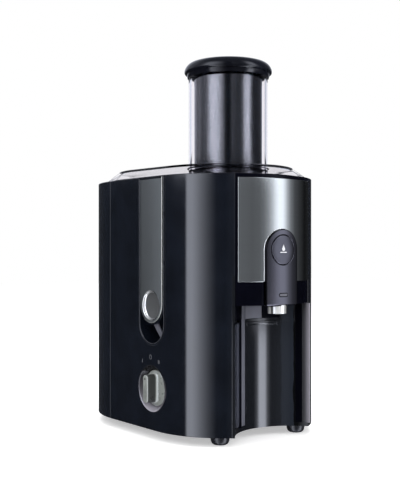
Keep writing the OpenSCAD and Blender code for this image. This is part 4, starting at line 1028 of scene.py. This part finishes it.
pusherBody = turnedMesh("pusherBody", roundedProfile(plunger["profile"], 5), 128)
finishPiece(pusherBody, "pusher", "satin_black", "pusherBlack", "pusher_body", smooth=40)
pusherRing = turnedMesh("pusherRing", plunger["ring"], 128, closed=True)
finishPiece(pusherRing, "pusher", "dark_plastic", "pusherBlack", "pusher_ring", smooth=20)
print("lid and pusher ready")

# sieve: a sheet of square cells with the middle of each taken out, bent to a cone and thickened
sieve = {"Columns": 150, "Rows": 24, "Open": 0.52, "Low Radius": 49.9, "High Radius": 73.2, "Low": 217.0,
         "High": 280.6, "Thickness": 0.5}
recipe = Recipe("perforated cone")
columns, rowCount = recipe.number("Columns"), recipe.number("Rows")
grid = recipe.add("GeometryNodeMeshGrid", 1.0, 1.0, recipe.plus(columns, 1), recipe.plus(rowCount, 1))
cells = recipe.add("GeometryNodeExtrudeMesh", grid.outputs[0], True, None, 0.0, True, mode="FACES")
small = recipe.add("GeometryNodeScaleElements", *cells.outputs[:2], recipe.input("Open"), domain="FACE")
holed = recipe.add("GeometryNodeDeleteGeometry", small.outputs[0], cells.outputs[1], domain="FACE", mode="ALL")
split = recipe.add("ShaderNodeSeparateXYZ", recipe.add("GeometryNodeInputPosition").outputs[0])
turn = recipe.times(split.outputs[0], 2 * pi)
share = recipe.plus(split.outputs[1], 0.5)


def between(low, high):
    low, high = recipe.input(low), recipe.input(high)
    return recipe.plus(low, recipe.times(recipe.math("SUBTRACT", high, low), share))


radius, height = between("Low Radius", "High Radius"), between("Low", "High")
bent = recipe.add("GeometryNodeSetPosition", holed.outputs[0], True, recipe.polar(radius, turn, height))
weld = 0.000008
skinned = recipe.add("GeometryNodeMergeByDistance", bent.outputs[0], True, weld).outputs[0]
thick = recipe.add("GeometryNodeExtrudeMesh", skinned, True, None, recipe.input("Thickness"), False, mode="FACES")
inside = recipe.add("GeometryNodeFlipFaces", skinned, True)
both = recipe.together(inside.outputs[0], thick.outputs[0])
recipe.end(recipe.add("GeometryNodeMergeByDistance", both, True, weld).outputs[0])
cone = grown("sieveCone", recipe, [(0, 0, 0)], "sieveSteel", sieve, "Columns", "Rows", "Open")
basket = {"foot": [(49.0, 214), (51.0, 214), (51.0, 216.6), (51.1, 217.4), (49.6, 217.6), (49.0, 217.2)],
          "rim": [(72.2, 280.2, 0), (73.8, 280.0, 0.3), (76.0, 280.0, 0.6), (76.0, 283, 1.0), (72.4, 283, 0.6),
                  (72.2, 280.2, 0)]}
footRing = turnedMesh("footRing", basket["foot"], closed=True)
rimRing = turnedMesh("rimRing", roundedProfile(basket["rim"])[:-1], closed=True)
basketPiece = joined("sieveBasket", [cone, footRing, rimRing])
finishPiece(basketPiece, "basket", "sieve_steel", "sieveSteel", "sieve_basket", smooth=40)

# grater: rings of slanted teeth on the disc
teeth = {"Rings": 6, "Teeth": 20, "First": 13.0, "Step": 6.0, "Radius": 1.25, "Tall": 2.2, "Floor": 213.6}
grater = {"plate": [(0, 212, 0), (50.9, 212, 0.4), (50.9, 213.9, 0.4), (8, 213.9, 1), (6.5, 214.6, 0.5),
                    (0, 214.6, 0)], "twist": 0.37, "slant": 0.38}
recipe = Recipe("rings of teeth")
rings, number = recipe.number("Rings"), recipe.number("Teeth")
spots = recipe.add("GeometryNodeMeshLine", recipe.times(rings, number))
index = recipe.add("GeometryNodeInputIndex").outputs[0]
ringNo = recipe.math("FLOOR", recipe.math("DIVIDE", index, number))
step = recipe.plus(index, recipe.times(ringNo, grater["twist"]))
turn = recipe.times(recipe.math("DIVIDE", step, number), 2 * pi)
radius = recipe.plus(recipe.input("First"), recipe.times(recipe.input("Step"), ringNo))
laid = recipe.add("GeometryNodeSetPosition", spots.outputs[0], True,
                  recipe.polar(radius, turn, recipe.input("Floor")))
wide = recipe.input("Radius")
tooth = recipe.add("GeometryNodeMeshCone", 6, 1, 1, recipe.times(wide, 0.15), wide, recipe.input("Tall"))
planted = recipe.add("GeometryNodeInstanceOnPoints", laid.outputs[0], True, tooth.outputs[0], False, 0,
                     recipe.spot(grater["slant"], 0.0, turn))
recipe.end(planted.outputs[0])
toothRings = grown("teeth", recipe, [(0, 0, 0)], "sieveSteel", teeth, "Rings", "Teeth")
plate = turnedMesh("graterPlate", roundedProfile(grater["plate"]))
finishPiece(joined("graterDisc", [plate, toothRings]), "basket", "sieve_steel", "sieveSteel", "grater_disc", smooth=35)
print("basket and grater ready")

# finger dish of each latch: profiles are (radius, height out of the latch)
dish = {"y": 13.0, "z": 149.0, "out": 100.4, "cutter": ((0, -2.8), (16.5, -2.8), (16.5, 6), (0, 6)),
        "floor": ((0, -2.3), (12.4, -2.25), (14.0, -2.15), (14.9, -2.15), (14.9, -2.7), (0, -2.7)),
        "wall": ((14.4, -2.6), (14.4, -2.18), (15.0, -1.9), (15.5, -1.2), (15.85, -0.3), (16.1, 0.12),
                 (16.4, 0.25), (16.75, 0.2), (17.0, 0.05), (17.05, -0.05), (16.45, -0.05), (16.4, -2.6))}
# narrow and short are the steel skin's shares of its CAD size, kept at the back and the top
skin = {"y": 12.3, "half": 22.75, "top": 291.5, "bead": 0.42, "out": 100.25, "back": 35.3, "narrow": 0.948,
        "short": 0.988}


def drawnIn(y, z, top):
    # a point of the skin at its smaller size
    return skin["back"] - (skin["back"] - y) * skin["narrow"], top - (top - z) * skin["short"]


def cutCopy(node, name, cutter, part):
    mesh = cleanCopy(node)
    if part == "skin":
        top = max(v.co.z for v in mesh.vertices) / mm
        for v in mesh.vertices:
            v.co.yz = [c * mm for c in drawnIn(v.co.y / mm, v.co.z / mm, top)]
    obj = newObject(name, mesh)
    cut = obj.modifiers.new("dish", "BOOLEAN")
    cut.operation = "DIFFERENCE"
    cut.solver = "EXACT"
    cut.object = cutter
    return bake(obj)


def inDish(side, name, profile, closed=False):
    # a turned shape at the middle of the latch's finger dish
    return placed(turnedMesh(name, profile, closed=closed), onSide(side, dish["y"], dish["z"], dish["out"]))


for side in ("left", "right"):
    rides = f"latch_{side}"
    cutter = inDish(side, "cutter", dish["cutter"])
    # the steel skin's colour is a painted sheen, lighter at its front edge
    for part, slot, kind, width in (("arm", "gloss_black", "glossBlack", 0.6),
                                    ("skin", "brushed_panel", "latchSteel", 0.2)):
        copy = cutCopy(f"latch_{part}_{side}", f"latch{part.capitalize()}.{side}", cutter, part)
        smoothBy(copy, 26)
        bevelled(copy, width, 3, 40)
        finishPiece(copy, rides, slot, kind, f"latch_{part}_{side}")
    scrapped(cutter)
    low = min(v[2] for v in nodes[f"latch_skin_{side}"].bound_box) / mm
    y, half = skin["y"], skin["half"]
    path = [(y - half, skin["top"])] + [(y - half * sin(radians(a)), low + half + half * cos(radians(a)))
                                        for a in range(90, 216, 5)]
    path = [drawnIn(y, z, skin["top"])[::-1] for y, z in path]
    # the rim bead is a painted highlight along the steel skin's edge
    rim = placed(bead(f"latchRim.{side}", flat, path, skin["bead"]), onSide(side, 0, 0, skin["out"]))
    finishPiece(rim, rides, "brushed_panel", "rimSteel", smooth=60)
    # the dish floor's colour is painted shade, darker towards the top
    pad = inDish(side, f"latchPad.{side}", dish["floor"])
    finishPiece(pad, rides, "satin_silver", "dishFloor", f"latch_pad_{side}", smooth=40)
    # the dish's wall and lip carry a painted highlight, bright towards the back
    lip = inDish(side, f"padLip.{side}", dish["wall"], closed=True)
    finishPiece(lip, rides, "satin_silver", "dishWall", smooth=50)

# a lighter bead painted as the highlight on the edge of the finger recess, and the spring leaf in it
recess = {"y": 12.3, "half": 23.78, "low": 106.57, "high": 291, "bead": 0.42, "out": 99.95}
leaf = {"line": [(131.5, 17.2), (131.5, 7.0), (122, 3.6), (114.5, 0.6), (110.6, 4.4), (112, 6.4), (118, 10.2),
                 (125, 14.2)], "heights": (-3.2, -1.6), "lean": 0.22, "hinge": 131.5, "out": 97.5}
y, half = recess["y"], recess["half"]
line = [(recess["low"] + half - half * sin(pi * i / 40), y + half * cos(pi * i / 40)) for i in range(41)]
line = [(recess["high"], y + half), *line, (recess["high"], y - half)]
for side in ("left", "right"):
    edge = placed(bead(f"recessEdge.{side}", flat, line, recess["bead"]), onSide(side, 0, 0, recess["out"]))
    finishPiece(edge, "housing", "gloss_black", "edgeGrey", smooth=60)
    rows = [[(u, v, h - leaf["lean"] * (leaf["hinge"] - u)) for u, v in leaf["line"]] for h in leaf["heights"]]
    spring = placed(lofted(f"recessLeaf.{side}", rows), onSide(side, 0, 0, leaf["out"]))
    bevelled(spring, 0.5, 3, 30)
    finishPiece(spring, "housing", "bezel_grey", "leafGrey")
print("latches ready")

# the knob's turned parts are (radius, height out of the wall), and the rows of its grip (wider by, height)
knob = {"y": 12.3, "z": 56.5, "face": 95.4, "grip": (15.7, 4.9), "corner": 4.2, "dotUp": 11.2,
        "dot": ((0, 13.6), (1.0, 13.6), (1.1, 13.56), (0, 13.4)),
        "disc": ((0, 0.3), (12, 0.22), (17.0, 0.08), (18.9, -0.12), (19.8, -0.65), (20.15, -1.5), (20.15, -2.2),
                 (0, -2.2)),
        "gripRows": ((2.4, 0.1), (1.5, 0.3), (0.75, 0.8), (0.25, 1.6), (0.0, 2.8), (-0.15, 11.5), (-0.25, 12.3),
                     (-0.6, 12.95), (-1.1, 13.27), (-1.9, 13.35)),
        "bezel": ((4, -7.2), (21.1, -7.2), (21.2, -6.3), (21.6, -5.2), (24.9, -0.45), (25.25, 0.02),
                  (25.65, 0.18), (25.95, 0.05), (26, -0.5), (26, -8.6), (4, -8.6))}
knobFace = onSide("left", knob["y"], knob["z"], knob["face"])
# the bezel's colour paints a reflection: light low down, nearly black at the top
bezel = placed(turnedMesh("knobBezel", knob["bezel"], 128, closed=True), onSide("left", knob["y"], knob["z"]))
finishPiece(bezel, "housing", "bezel_grey", "bezelGrey", "knob_bezel", smooth=35)
long, wide = knob["grip"]
grip = lofted("grip", [[(u, v, h) for u, v in roundedRect(long + g, wide + g, max(knob["corner"] + g, 0.4), 10)]
                       for g, h in knob["gripRows"]])
# the knob's colour paints a highlight on the grip's top edge, shade on its side, and a bright line where it meets the
# disc
knobPiece = placed(joined("knobGrip", [turnedMesh("disc", knob["disc"]), grip]), knobFace)
finishPiece(knobPiece, "selector", "satin_silver", "knobSilver", "knob", smooth=45)
dot = placed(turnedMesh("knobDot", knob["dot"], 24), knobFace @ shiftedBy(knob["dotUp"], 0))
finishPiece(dot, "selector", "dark_plastic", "ringBlack")

# speed marks above the knob: places are (up, towards the back)
marks = {"heights": (-0.1, 0.1), "bar": (2.0, 0.38, 0.2), "bars": ((85.8, 30.6), (87.3, -2.55), (87.3, -0.85)),
         "none": (91.3, 14.4), "ring": (2.65, 2.15), "thick": 0.52}
signs = [lofted("bar", [[(z + u, y + v, h) for u, v in roundedRect(*marks["bar"], 2)] for h in marks["heights"]])
         for z, y in marks["bars"]]
z, y = marks["none"]
tall, wide = marks["ring"]
section = zip((0, 0, marks["thick"], marks["thick"]), marks["heights"] + marks["heights"][::-1])
signs.append(lofted("ring", [[(z + u, y + v, h) for u, v in circle(48, tall - thin, wide - thin)]
                             for thin, h in section], loop=True))
finishPiece(placed(joined("speedMarks", signs), onSide("left", 0, 0)), "housing", "mark_grey", "markGrey")
print("knob and marks ready")

dressed("pulp_container", "pulpContainer", "container", "gloss_black", "glossBlack", 0.7, 3)
# ribs along the back of the container's grip
ribs = {"Count": 5, "Step": 4.4, "Radius": 0.75, "Length": 68.0, "Low": 222.4, "Back": 180.05}
recipe = Recipe("grip ribs")
count, length, radius = recipe.number("Count"), recipe.input("Length"), recipe.input("Radius")
line = recipe.add("GeometryNodeMeshLine", count, None,
                  recipe.spot(0.0, recipe.input("Back"), recipe.input("Low")),
                  recipe.spot(0.0, 0.0, recipe.input("Step")))
bar = recipe.moved(recipe.add("GeometryNodeMeshCylinder", 20, 1, 1, radius, length), Rotation=(0, pi / 2, 0))
ball = recipe.add("GeometryNodeMeshIcoSphere", radius, 3)
tips = [recipe.moved(ball, Translation=recipe.spot(recipe.times(length, end), 0.0, 0.0)) for end in (0.5, -0.5)]
laid = recipe.add("GeometryNodeInstanceOnPoints", line.outputs[0], True, recipe.together(bar, *tips))
recipe.end(laid.outputs[0])
gripRibs = grown("gripRibs", recipe, [(0, 0, 0)], "glossBlack", ribs, "Count")
finishPiece(gripRibs, "container", "gloss_black", "glossBlack", smooth=50)
print("container ready")

# nodes that keep their own shape
innerFinish = {"screwSteel": ("motor_screws", "latch_pins", "latch_springs", "button_spring", "knob_shaft"),
               "rubber": ("cord_gland", "mounting_bushes", "shaft_seal"),
               "castAluminium": ("upper_bracket", "lower_bracket"),
               "satinSilver": ("upper_bearing", "lower_bearing", "motor_shaft", "valve_slide"),
               "coreIron": ("stator_stack", "rotor_core"), "copperWire": ("stator_windings",),
               "copperBars": ("commutator",), "carbon": ("carbon_brushes",),
               "darkPlastic": ("speed_switch", "interlock_switch", "cooling_fan", "drive_coupling", "basket_hub"),
               "boardGreen": ("control_board",)}
for kind, names in innerFinish.items():
    for name in names:
        nodes[name].data.materials.clear()
        nodes[name].data.materials.append(finish[kind])
print("inner nodes ready")
